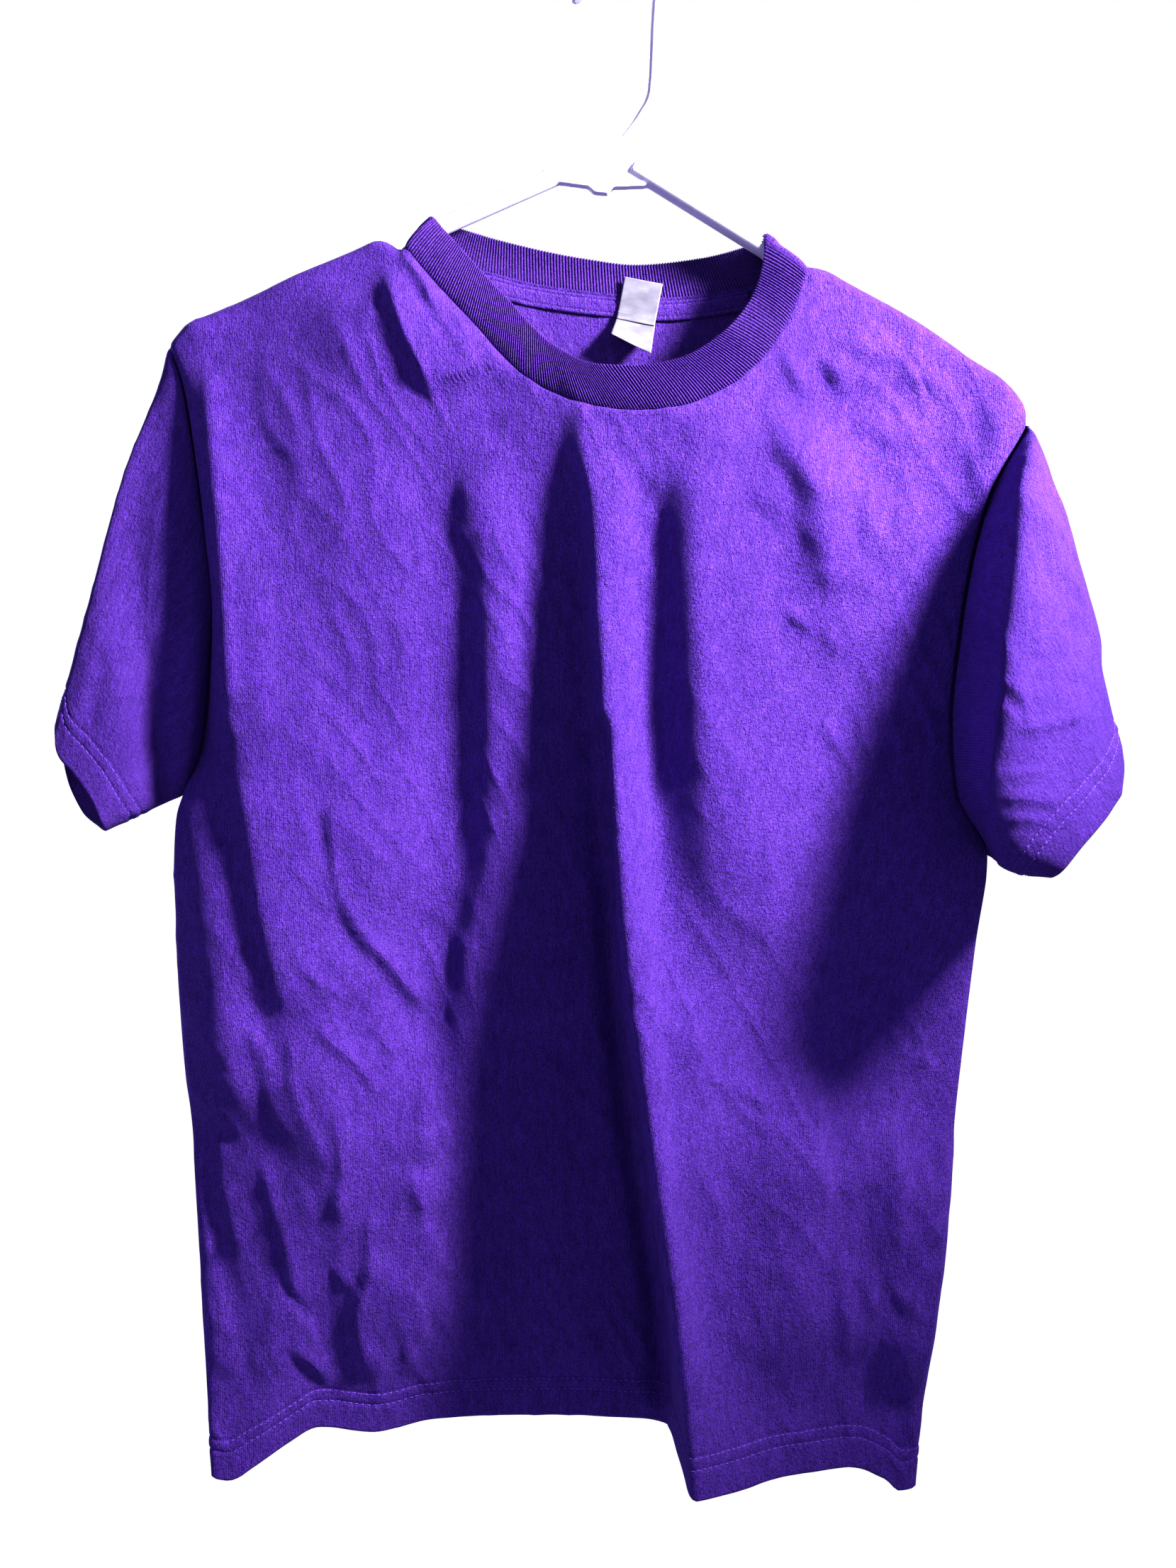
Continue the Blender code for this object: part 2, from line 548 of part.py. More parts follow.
# ---- hanger ----------------------------------------------------------------------------------------------
def tube(name, points, radius, resolution):
    """A mesh tube along points in the plane of the hanger."""
    curve = bpy.data.curves.new(name, "CURVE")
    curve.dimensions = "3D"
    curve.bevel_depth = radius * MM
    curve.bevel_resolution = resolution
    curve.use_fill_caps = True
    spline = curve.splines.new("POLY")
    spline.points.add(len(points) - 1)
    for point, (x, z) in zip(spline.points, points):
        point.co = (x * MM, 0.0, z * MM, 1.0)
    return meshed(bpy.data.objects.new(name, curve))


def plate(name, outline, thickness):
    """A flat plate of the given outline, centred on the plane of the hanger."""
    curve = bpy.data.curves.new(name, "CURVE")
    curve.dimensions = "2D"
    curve.fill_mode = "BOTH"
    curve.extrude = thickness / 2 * MM
    spline = curve.splines.new("POLY")
    spline.points.add(len(outline) - 1)
    spline.use_cyclic_u = True
    for point, (x, z) in zip(spline.points, outline):
        point.co = (x * MM, z * MM, 0.0, 1.0)
    flat = bpy.data.objects.new(name, curve)
    flat.rotation_euler = (math.pi / 2, 0, 0)
    return meshed(flat)


def meshed(source):
    """The same shape as a mesh with its caps welded, in world places."""
    bpy.context.scene.collection.objects.link(source)
    bpy.context.view_layer.update()
    evaluated = source.evaluated_get(bpy.context.evaluated_depsgraph_get())
    mesh = bpy.data.meshes.new_from_object(evaluated)
    mesh.transform(source.matrix_world)
    shell = bmesh.new()
    shell.from_mesh(mesh)
    bmesh.ops.remove_doubles(shell, verts=shell.verts, dist=0.00002)
    bmesh.ops.recalc_face_normals(shell, faces=shell.faces)
    shell.to_mesh(mesh)
    shell.free()
    name = source.name
    bpy.data.objects.remove(source)
    return bpy.data.objects.new(name, mesh)


def frame_line():
    """Centre line of arms, end bends and lower bar, from one end in the gusset to the other."""
    arm = np.linspace(-ARM_START, -ARM_END, 60)
    right_arm = np.stack([arm, arm_line(arm)], axis=1)
    end = right_arm[-1]
    centre = end + END_BEND * np.array([math.sin(ARM_PITCH), -math.cos(ARM_PITCH)])
    turns = np.linspace(math.pi / 2 + ARM_PITCH, 3 * math.pi / 2, 9)[1:]
    bend = centre + END_BEND * np.stack([np.cos(turns), np.sin(turns)], axis=1)
    bar = np.array([[0.0, bend[-1, 1]]])
    half = np.concatenate([right_arm, bend])
    whole = np.concatenate([half, bar, half[::-1] * [-1, 1]])
    return rolled(whole[:, 0], whole[:, 1])


def hook_line():
    """Centre line of hook and shank, from the hook's free end down into the gusset."""
    centre_z = ROD_RADIUS - HOOK_RADIUS
    turns = np.linspace(math.pi + HOOK_TAIL, 0, 17)
    arc = np.stack([HOOK_RADIUS * np.cos(turns), centre_z + HOOK_RADIUS * np.sin(turns)], axis=1)
    return np.concatenate([arc, SHANK])


def build_hanger(look, parts, cutters):
    frame = tube("hanger", frame_line(), ARM_RADIUS, 3)
    frame.data.materials.append(look)
    frame.data.shade_smooth()
    parts.objects.link(frame)
    for added in (plate("gusset_tool", GUSSET, GUSSET_THICKNESS), tube("hook_tool", hook_line(), ROD_RADIUS, 2)):
        cutters.objects.link(added)
        added.hide_render = True
        added.display_type = "WIRE"
        union = frame.modifiers.new(added.name, "BOOLEAN")
        union.operation = "UNION"
        union.solver = "EXACT"
        union.object = added


# ---- the whole -------------------------------------------------------------------------------------------
def main():
    for old in list(bpy.data.objects):
        bpy.data.objects.remove(old)
    parts = bpy.data.collections.new("tshirt_on_hanger")
    cutters = bpy.data.collections.new("tools")
    for group in (parts, cutters):
        bpy.context.scene.collection.children.link(group)

    jersey = material("purple jersey", (0.10, 0.022, 0.42), 0.9)
    rib = material("purple rib", (0.10, 0.022, 0.40), 0.9)
    woven = material("white label", (0.85, 0.85, 0.88), 0.6)
    plastic = material("white plastic", (0.88, 0.87, 0.90), 0.35)

    front = Panel(FRONT_SECTIONS, -1, EDGE_COLUMNS.index("front"), FRONT_HEM, FRONT_NECKLINE)
    back = Panel(BACK_SECTIONS, 1, EDGE_COLUMNS.index("back"), BACK_HEM, BACK_NECKLINE)
    front_columns = 2 * len(FRONT_SHOULDER) + len(NECK_SHARES) - 2
    back_columns = 2 * len(BACK_SHOULDER) + len(NECK_SHARES) - 2
    front_rows = front.grid(spread(front_columns, EDGE_STEPS), TOP_ROWS, BODY_ROWS, FRONT_SHOULDER, NECK_SHARES)
    back_rows = back.grid(spread(back_columns, EDGE_STEPS), TOP_ROWS, BODY_ROWS, BACK_SHOULDER, NECK_SHARES)
    right_sleeve = sleeve_rows(front, back, -1, RIGHT_SLEEVE_RINGS, SLEEVE_AROUND, SLEEVE_ALONG)
    left_sleeve = sleeve_rows(front, back, 1, LEFT_SLEEVE_RINGS, SLEEVE_AROUND, SLEEVE_ALONG)
    band = band_rows(front_rows, back_rows)

    for piece in (sheet("front_panel", front_rows, jersey, CLOTH),
                  sheet("back_panel", back_rows, jersey, CLOTH, facing=-1),
                  sheet("sleeve_right", right_sleeve, jersey, CLOTH, ring=True),
                  sheet("sleeve_left", left_sleeve, jersey, CLOTH, facing=-1, ring=True),
                  sheet("neckband", band, rib, RIB, ring=True),
                  sheet("neck_tape", tape_rows(back_rows), jersey, TAPE),
                  sheet("care_label", label_rows(), woven, LABEL_THICKNESS)):
        parts.objects.link(piece)
    build_hanger(plastic, parts, cutters)


main()
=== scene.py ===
"""A purple jersey T-shirt on a white plastic hanger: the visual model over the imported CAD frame.

Millimetres are used for all tables; meshes are made in metres. The shirt's front faces -Y, and left and
right are the wearer's. Creases are listed by where they show in the photograph's frame of 1659 x 2212, so
`seen` below gives the place of a point in that frame.
"""
import math

import bmesh
import bpy
import numpy as np
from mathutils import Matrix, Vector, noise


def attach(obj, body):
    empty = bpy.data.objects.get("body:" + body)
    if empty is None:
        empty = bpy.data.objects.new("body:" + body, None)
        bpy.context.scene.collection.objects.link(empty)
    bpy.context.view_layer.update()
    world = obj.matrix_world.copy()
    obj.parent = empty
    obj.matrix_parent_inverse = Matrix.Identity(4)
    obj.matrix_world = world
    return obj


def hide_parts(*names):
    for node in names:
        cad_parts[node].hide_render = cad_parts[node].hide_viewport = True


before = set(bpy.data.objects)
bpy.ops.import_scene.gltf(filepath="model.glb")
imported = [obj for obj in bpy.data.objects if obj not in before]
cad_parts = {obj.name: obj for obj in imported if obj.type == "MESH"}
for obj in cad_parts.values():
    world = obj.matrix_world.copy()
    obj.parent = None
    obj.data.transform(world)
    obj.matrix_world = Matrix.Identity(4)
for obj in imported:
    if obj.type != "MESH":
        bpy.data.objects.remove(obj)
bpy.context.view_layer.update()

MM = 0.001

# ---- the photograph's camera
CAMERA = (-15.7, -800.0, -453.5)
FRAME = (1659, 2212)
FOCAL = 2081.7                        # in pixels of that frame


def seen(points):
    """Pixel column and row of points in millimetres."""
    away = points[..., 1] - CAMERA[1]
    return np.stack([FRAME[0] / 2 + (points[..., 0] - CAMERA[0]) / away * FOCAL,
                     FRAME[1] / 2 - (points[..., 2] - CAMERA[2]) / away * FOCAL], axis=-1)


def rows_of(text):
    """A table from text, one row a line: words, numbers, and points with commas. Lines with # are notes."""
    def read(word):
        if "," in word:
            return tuple(float(number) for number in word.split(","))
        return float(word) if word.lstrip("-.")[0].isdigit() else word
    rows = [line.split() for line in text.splitlines() if line.strip() and line[0] != "#"]
    return [tuple(read(word) for word in row) for row in rows]


# ---- sizes shared with the CAD
HANGER_ROLL = math.radians(3.9)
ARM_PITCH = math.radians(27.9)
APEX_X = -4.2
APEX_Z = -105.6
ARM_RADIUS = 5.0
ARM_START = 14.0
ARM_END = 208.0
END_BEND = 10.5
NOTCH_AT = 105.5
NOTCH_DEPTH = 15.0
NOTCH_HALF = 16.5
ROD_RADIUS = 3.5
HOOK_RADIUS = 23.0
HOOK_TAIL = math.radians(24)
SHANK = ((21.5, -40.0), (19.6, -78.0), (18.4, -84.0), (13.6, -92.5), (5.0, -108.0))
GUSSET = rows_of("""
-40,-121.5 -33,-128 -16,-130.3 -12.8,-133.4 -5.5,-134.2 -2.1,-130.7 14,-130.3 23,-127.5 8.5,-113.3 \
    10.4,-109 17,-94.5 10.6,-92.5 2,-104.2 -1,-105.4
""")[0]
GUSSET_THICKNESS = 5.4
WELD = 0.02                           # points this near are made one
GROOVE_THICKNESS, GROOVE_Y = 1.6, -3.1
GUSSET_GROOVE = ((-8.2, -116.2), (-7.2, -114.4), (13.6, -126.9), (12.4, -128.6))

CLOTH = 0.9
RIB = 2.0
CAD_CLOTH = 1.2
SEAM_GAP = 0.16                       # between front and back along the side seams
CROWN_GAP = 0.5                       # between the arms and the cloth on them
ARM_CLEAR, BAND_CLEAR = 0.3, 0.4      # least distance from the arms of the panels and of the neckband
CROWN_ROUND = 8.0                     # depth over which the cloth rounds over the arms
NOTCH_FOLLOWED = (0.92, 0.3)          # how much of the strap notches the cloth sinks into, right and left
DROOPS = ((-226, 34), (203, 17))      # where the shoulders droop past the arms and how gently, right and left
NECK_LEFT_X = 102.0
NECK_RIGHT_X = -114.3
HEM_DEPTH = 21.0                      # from the hem's fold to its upper row of stitches
ROW_APART = 6.0                       # between the two rows

# The panels' side edges up to the shoulder points: height, x, and depth of the front and of the back panel.
DEPTH_IN_FRONT, DEPTH_BEHIND = 2, 3
RIGHT_EDGE = rows_of("""
-818 -214 -20 -20
-732 -221 -12 -12
-640 -228.5 -4 -4
-594 -234 0 0
-556 -237 3 3
-507 -238.5 5 5
-457 -234 6 6
-434 -225 1 12
-393 -219.5 -4 16
-355 -217 -6 16
-309 -222.5 -8 13
-274 -227.5 -8.5 10
-238 -234 -8.5 8.5
-217.5 -241.5 -8.5 8.5
""")
LEFT_EDGE = rows_of("""
-818 154.5 -30 -30
-786 158 -28 -28
-748 163 -24 -24
-703 170 -18 -18
-659 176.5 -12 -12
-594 186 -4 -4
-540 194.5 2 2
-492 202 6 6
-459 184 0 14
-417 179.5 -6 18
-373 183.5 -9 18
-302 198.5 -9 14
-262.5 219.5 -9 9
""")
RIGHT_UNDERARM_Z = -457
LEFT_UNDERARM_Z = -492

# Plan sections: height, then x and depth of every large fold from the wearer's right side to the left.
# In front these are lobe, flank, slot, small ridge, recess, foot, crest, valley, shelf and chest.
FRONT_SECTIONS = rows_of("""
-170 -206,-8 -150,-12 -115,-14 -78,-14 -48,-18 -30,-21 -14,-23 20,-25 58,-20 140,-9
-250 -213,-15 -152,-18 -92,-21 -70,-20 -47,-23 -32,-25 -19,-28 20,-30 56,-26 140,-14
-320 -208,-25 -155,-21 -87,-14 -68,-19 -42,-15 -22,-14 -12,-31 20,-21 43,-30 130,-16
-400 -201,-30 -150,-20 -84,-6 -67,-15 -38,-7 -18,-4 -8,-34 20,-19 45,-31 125,-12
-480 -188,-31 -143,-18 -84,2 -66,-7 -36,0 -14,3 -1,-43 24,-25 48,-35 122,-12
-560 -176,-31 -139,-17 -94,5 -81,-2 -42,6 0,8 7,-52 32,-35 53,-28 119,-12
-640 -173,-26 -139,-12 -98,1 -84,6 -45,12 12,12 18,-63 42,-44 61,-35 118,-17
-720 -180,-21 -146,-6 -106,-1 -82,8 -45,15 23,14 29,-71 52,-52 72,-44 117,-30
-815 -196,-23 -165,-8 -130,-4 -100,6 -45,15 28,11 38,-76 58,-68 84,-52 119,-44
""")
# Behind they are side ridge, side hollow, ridge, hollow and far ridge.
BACK_SECTIONS = rows_of("""
-165 -170,9 -100,12 -30,20 30,20 110,10
-260 -175,16 -105,19 -30,25 30,24 130,17
-340 -180,22 -108,22 -32,31 28,26 128,25
-440 -182,28 -110,24 -34,40 26,28 120,33
-560 -182,31 -112,26 -36,48 24,30 112,40
-690 -180,33 -112,28 -38,56 22,32 104,46
-815 -176,34 -112,30 -38,62 22,34 98,50
""")
SIDE_TURN = 7.0                       # how widely the cloth turns round at a side seam
ARMHOLE_TURN = 0.8                    # and at an armhole
TURN_STARTS, TURN_OVER = 42.0, 40.0   # height over the underarm where one becomes the other, and how slowly
PANEL_HEIGHTS = np.linspace(-826, -140, 275)
TOP_BETWEEN = (-400.0, -141.0)
NEAR_HEM_Z = -810.0
EDGE_PLACES = np.array([0, 0.8, 2, 4]) / 465  # close columns at a side edge, as shares of a panel's width

# x and height of the panels' lower edges and necklines
FRONT_HEM = rows_of("""
-214,-818 -205,-820 -192,-814 -175,-805 -160,-799 -130,-803 -100,-800 -45,-802 15,-803 36,-806 56,-806 \
    84,-805 118,-804 137,-811 146,-818 154.5,-818
""")[0]
BACK_HEM = rows_of("""
-214,-818 -176,-812 -112,-806 -38,-808 22,-806 98,-812 154.5,-818
""")[0]
FRONT_NECKLINE = rows_of("""
-105.8,-175 -79,-205 -48,-238 -17,-253 8.5,-257 28,-255.5 59,-243 83,-219 97,-190
""")[0]
BACK_NECKLINE = rows_of("""
-98,-168.5 -76.5,-170 -49,-175.5 -1,-181.5 25,-183.5 69,-179.5 92,-176.5
""")[0]
# the neckband's free edge: share of its length, x, depth and height
FRONT_BAND_EDGE = rows_of("""
0 -101.5 0 -147.2
0.03 -99 -6.5 -149.8
0.07 -92.5 -10.5 -158
0.28 -59 -17 -196
0.43 -32 -24 -224
0.53 -11 -28 -234
0.59 8.5 -30 -235.5
0.67 30 -29 -232
0.79 56 -24 -216
0.88 73.5 -16 -192
0.94 78.8 -11 -174.5
0.97 80.2 -7 -163
1 80.5 0 -156.8
""")
BACK_BAND_EDGE = rows_of("""
0 -101.5 0 -147.2
0.05 -97.5 7 -147.8
0.1 -89 10.5 -149
0.24 -65 15 -154.5
0.46 -17 20.5 -163
0.58 10 21.5 -166
0.76 47 17.5 -163.5
0.9 70 11 -159.5
0.96 77.5 7 -157.6
1 80.5 0 -156.8
""")
BAND_CROWN = 1.0                      # how far the band's middle stands proud
SEAM_TUCK = 0.9                       # how far the band runs on under the panels' edge

RING_POINTS = ("top", "front_1", "front_2", "front_3", "front_4",
               "under", "back_4", "back_3", "back_2", "back_1")
RIGHT_SLEEVE_RINGS = rows_of("""
0.16 -247,-3,-236 -239,-14,-280 -229,-15,-335 -226,-15,-385 -229,-10,-430 -236,5,-459 -229,22,-430 \
    -227,25,-385 -231,24,-330 -240,16,-275
0.45 -262.5,-10,-282 -254,-26,-318 -244,-29,-360 -240,-28,-402 -240,-22,-440 -243,-2,-463 -245,25,-442 \
    -246,38,-402 -251,36,-352 -259,18,-305
0.75 -279.5,-20,-357 -273,-36,-380 -263,-39,-405 -254,-38,-430 -249,-33,-454 -252,-14,-468 \
    -262,22,-464 -275,47,-440 -285,44,-402 -285.5,16,-371
1 -295,-27,-424 -290,-38,-438 -280,-41,-449 -271,-43,-461 -266,-42,-473 -270,-24,-478 -285,12,-477 \
    -305,46,-470 -316,52,-452 -308,16,-431
""")
LEFT_SLEEVE_RINGS = rows_of("""
0.14 225,-9,-268 206.4,-41,-300.4 194.4,-56,-350.8 188.5,-66,-400.7 185.5,-65,-450 201.1,-13,-493.8 \
    210,24,-468 207,32,-405 210,30,-345 222,16,-288
0.45 233.7,-26,-316.2 215.9,-57,-353.3 204.3,-74,-393.6 195.9,-84,-430.7 191.1,-82,-465.6 \
    201,-40,-496.3 221,20,-480 226,34,-425 231,30,-370 238,4,-328
0.75 247,-36,-378.3 233,-63,-401 221.1,-81,-426 208,-93,-452 199.3,-93,-480.7 204.5,-61,-498.5 \
    228.4,12,-489.9 245,35,-452 252,30,-412 256,0,-383
1 260.2,-39,-443 251.2,-63,-456 241,-79,-467.5 224.8,-92,-482.5 213.9,-95,-494.8 212.9,-78,-499 \
    230.9,-2,-496.6 251,42,-480 266,38,-455 268,0,-442
""")

# How the sleeves' cloth lies off the plain rings: ring, point, pixels moved right and down in the frame of
# the photograph, and millimetres moved back.
RIGHT_SLEEVE_SET = rows_of("""
0 front_1 0 0 3
0 front_2 0 0 4
0 front_3 0 0 1
0 front_4 0 0 -3
1 front_1 0 0 12
1 front_2 -3 0 16
1 front_3 -5 0 16
1 front_4 -4 0 15
1 under 0 0 5
2 front_1 0 0 7
2 front_2 -2 0 11
2 front_3 -6 0 14
2 front_4 -6 0 15
2 under 0 0 7
3 front_1 0 0 4
3 front_2 0 0 8
3 front_3 0 0 12
3 front_4 0 0 14
3 under 0 0 7
""")
LEFT_SLEEVE_SET = rows_of("""
0 top 0 0 -9
0 front_1 0 0 -4
0 front_4 -5 0 0
1 top 0 0 -6
1 front_1 -5 0 -2
1 front_2 -20 0 0
1 front_3 -32 8 2
1 front_4 -34 22 2
1 under -10 0 0
2 front_1 -6 0 0
2 front_2 -20 4 2
2 front_3 -38 18 3
2 front_4 -36 18 4
2 under -14 0 0
3 front_2 -5 2 0
3 front_3 -9 3 0
3 front_4 -9 2 0
3 under -7 0 0
""")


def laid(rings, moves):
    """The rings with their points moved as the cloth lies."""
    rings = [[row[0]] + [np.array(point, float) for point in row[1:]] for row in rings]
    for ring, point, right, down, back in moves:
        row, at = rings[int(ring)], 1 + RING_POINTS.index(point)
        column, line = seen(row[at])
        y = row[at][1] + back
        scale = (y - CAMERA[1]) / FOCAL
        row[at] = np.array([CAMERA[0] + (column + right - FRAME[0] / 2) * scale, y,
                            CAMERA[2] - (line + down - FRAME[1] / 2) * scale])
    return rings


# ---- creases
# Each row is a kind, the slope at the crease's middle, the distance in pixels from there to where it turns
# over, and a line of points in the photograph's frame. A "dark" one slopes away from the light and a "light"
# one towards it, with a sharp crest; "shade" and "glow" are the same on a broad soft fold; "ridge" and
# "trough" are rounded both ways.
FRONT_CREASES = rows_of("""
# broad slopes of the large folds
ridge 0.34 9 294,510 303,640 312,760 319,880 326,1010
glow 0.3 26 300,500 332,640 352,760 376,900 392,1050
shade 0.22 34 340,450 382,600 430,720 470,840 505,990
shade 0.42 42 440,380 455,480 480,590
glow 0.26 24 568,620 582,780 590,960 592,1120 592,1320
shade 0.6 14 650,650 646,720 640,800
glow 0.26 20 712,600 722,760 724,900 718,1010
shade 0.4 18 936,630 946,800 956,950 966,1110
glow 0.52 13 884,640 892,800 900,960 908,1100 926,1400 940,1600 974,1830 1000,1990
shade 0.4 22 945,1380 975,1600 1012,1800 1040,1960
trough 0.95 9 846,1000 850,1200 862,1400 892,1640 920,1830 934,1990
shade 0.34 38 1092,600 1128,760 1140,900 1150,1000
shade 0.24 50 1150,400 1170,500 1200,600
shade 0.8 58 1064,1480 1072,1600 1078,1720 1082,1850 1084,2010
shade 0.8 40 1236,1560 1244,1680 1244,1780 1240,1880 1242,1990
shade 0.3 34 430,1010 455,1120 490,1230 540,1330
shade 0.42 60 420,1440 440,1620 450,1800 450,1990
light 0.45 15 1160,1500 1158,1600 1166,1720
light 0.4 13 1262,1560 1268,1680 1262,1800
# gathered cloth below the wearer's right neck point
dark 0.7 15 531,366 545,420 560,470 588,530 610,575
dark 0.62 10 555,355 580,385 600,420 618,458
dark 0.4 6 570,360 590,378 604,396
light 0.3 7 562,372 584,415 607,455 630,505
dark 0.42 17 598,566 650,545 705,527 758,508
dark 0.16 12 512,380 516,430 520,500
# right chest and upper body
light 0.4 7 312,975 328,1015 347,1055
dark 0.62 12 460,1125 465,1225 483,1285 507,1324 539,1360 566,1394 606,1438
dark 0.3 8 700,950 722,968 752,992
# right side, from the underarm down
dark 0.4 18 318,1070 331,1130 345,1200 356,1270 370,1340 385,1400 402,1458
glow 0.95 28 283,1060 303,1175 320,1285 338,1400 354,1490 366,1600
dark 0.5 9 258,1420 288,1453 318,1493 337,1514
light 0.45 6 352,1440 379,1475 392,1520 401,1558
dark 0.55 8 343,1440 361,1482 374,1540 388,1582 414,1614
dark 0.45 6 404,1452 407,1500 413,1555
light 0.2 20 424,1075 440,1150 470,1235 502,1305
dark 0.35 6 397,1208 432,1252 473,1304
dark 0.35 8 405,1358 450,1392 505,1426
dark 0.45 9 424,1444 465,1475 503,1505 533,1555
dark 0.4 7 500,1436 530,1462 562,1502
dark 0.6 12 262,1505 272,1530 297,1565 338,1616
dark 0.5 11 300,1596 309,1670 327,1745 341,1785
dark 0.65 9 366,1632 377,1688 390,1730 401,1772 410,1810 442,1850
light 0.35 8 404,1490 428,1550 452,1600 473,1650
dark 0.55 7 468,1556 477,1610 477,1652 470,1690 484,1718
light 0.35 8 500,1655 493,1690 490,1728
dark 0.55 7 458,1766 477,1790 496,1806 520,1809
dark 0.62 8 521,1685 519,1745 513,1806
dark 0.6 15 569,1636 580,1670 590,1700 600,1724
dark 0.45 7 566,1640 560,1685 555,1724
light 0.45 8 588,1686 611,1726 628,1765 642,1795
light 0.45 7 642,1560 630,1610 613,1655
glow 0.3 9 600,1496 605,1560 608,1640
shade 0.45 10 592,1505 589,1580 579,1642
dark 0.6 13 537,1735 515,1790 500,1842 505,1905 521,1956
light 0.4 8 560,1798 592,1812 603,1852 600,1902
dark 0.5 7 580,1880 569,1915 562,1948
dark 0.45 7 380,1806 379,1860 362,1898
light 0.35 9 384,1808 415,1838 441,1869 453,1905
dark 0.8 9 396,1900 426,1914 448,1934 464,1964
light 0.5 8 274,1596 289,1700 304,1792
light 0.45 10 302,1772 318,1830 334,1895
dark 0.45 7 340,1886 354,1900 353,1948
dark 0.3 8 292,1815 296,1880 304,1950
dark 0.3 7 352,1690 366,1712 374,1748
light 0.28 8 420,1650 440,1690 446,1735
dark 0.12 60 430,1430 438,1620 442,1800 440,1960
# left chest
dark 0.22 11 1090,480 1112,525 1135,570
dark 0.25 9 1150,500 1168,530 1185,560
dark 0.22 8 1170,490 1210,512 1250,530
dark 0.2 6 1225,570 1233,583 1242,597
dark 0.18 6 1015,610 1025,640
dark 0.35 14 1060,620 1100,650 1130,690 1155,730
dark 0.28 9 1110,720 1150,780 1168,795
dark 0.25 8 1150,800 1156,820 1160,842
dark 0.25 7 1200,820 1215,836 1232,852
dark 0.2 7 1215,680 1216,710 1214,742
dark 0.18 6 1215,758 1214,792
dark 0.45 7 1098,846 1112,872 1147,897
light 0.3 7 1112,846 1130,866 1160,886
dark 0.3 8 1150,890 1165,910 1182,932
dark 0.22 7 1040,890 1045,910 1050,932
dark 0.3 9 1155,1010 1166,1042 1187,1082
dark 0.18 8 924,655 923,705
dark 0.15 10 1075,1140 1078,1240 1074,1350
light 0.25 7 1368,536 1374,548
dark 0.25 6 1345,598 1346,625 1344,652
shade 0.8 22 1410,515 1394,585 1374,665 1345,765
shade 0.44 19 1080,575 1105,637 1127,690 1141,745 1148,800 1158,860
shade 0.4 14 1042,692 1075,715 1108,740
shade 0.62 13 1208,680 1212,740 1222,800
shade 0.7 9 1150,500 1168,532 1188,566
shade 0.6 8 1094,502 1112,535 1133,570
shade 0.65 8 1168,486 1214,503 1262,526
shade 0.5 9 1268,560 1300,540 1330,512
shade 0.45 9 1060,560 1082,600 1098,650
shade 0.4 10 1252,690 1262,740 1256,790
shade 0.55 12 1180,596 1230,618 1294,652
# left side and hem
dark 0.32 9 975,1505 1005,1525 1035,1542 1104,1572
dark 0.25 8 962,1438 970,1470 977,1503
light 0.25 8 980,1600 988,1632 997,1662
light 0.3 8 985,1623 1004,1677 1040,1716
dark 0.3 8 1155,1657 1175,1668 1192,1692
light 0.3 7 1221,1618 1219,1660 1213,1702
dark 0.4 12 1168,1740 1168,1810 1180,1865 1184,1930
light 0.35 9 1217,1790 1227,1831 1223,1877 1211,1946 1205,2010
dark 0.4 10 1200,1760 1208,1810 1212,1850
dark 0.45 10 1232,1785 1258,1818 1281,1846 1306,1862
dark 0.5 10 1238,1860 1262,1915 1277,1975 1280,2050
light 0.35 6 1230,1848 1246,1877 1270,1917
dark 0.5 9 1276,1680 1298,1720 1311,1750 1302,1815
dark 0.55 8 1318,1590 1320,1660 1318,1715
light 0.4 6 1296,1475 1314,1496 1334,1514
light 0.35 6 1316,1520 1332,1542 1348,1562
light 0.45 7 1314,1745 1308,1860 1300,1985
dark 0.35 7 1280,1698 1290,1730 1302,1762
""")
BACK_CREASES = rows_of("""
ridge 0.3 16 520,380 560,520 600,700
trough 0.3 12 1120,400 1090,520 1070,660
ridge 0.22 20 420,640 470,800 500,980
trough 0.25 14 330,1000 400,1100 470,1180
ridge 0.25 16 1240,900 1180,1040 1140,1220
trough 0.3 12 1330,1180 1260,1260 1220,1380
ridge 0.2 22 700,700 720,900 715,1150
trough 0.3 13 560,1300 600,1420 690,1520
ridge 0.28 14 900,1280 880,1450 900,1600
trough 0.32 12 330,1480 380,1600 390,1760
ridge 0.3 13 470,1560 500,1700 480,1860
trough 0.25 15 1020,1500 1040,1680 1020,1850
ridge 0.3 12 1180,1600 1200,1760 1180,1900
trough 0.3 12 1280,1500 1270,1640 1240,1780
dark 0.3 10 620,1700 680,1780 700,1900
dark 0.25 10 800,560 860,600 930,610
""")
RIGHT_SLEEVE_CREASES = rows_of("""
dark 0.2 16 225,640 205,780 190,930
light 0.22 12 262,700 235,850 190,1010
dark 0.25 12 280,860 245,970 215,1060
trough 0.2 10 150,900 135,980 120,1050
""")
LEFT_SLEEVE_CREASES = rows_of("""
dark 0.4 12 1440,690 1480,780 1510,840 1545,950
light 0.3 10 1425,700 1412,800 1410,900
dark 0.4 8 1405,955 1428,980 1452,1008
light 0.35 7 1412,985 1430,1005 1446,1022
dark 0.4 8 1420,1038 1470,1032 1550,1010
dark 0.35 8 1400,1130 1450,1136 1512,1140
dark 0.35 8 1405,1168 1440,1162 1478,1172
light 0.3 8 1400,1095 1450,1085 1500,1080
""")


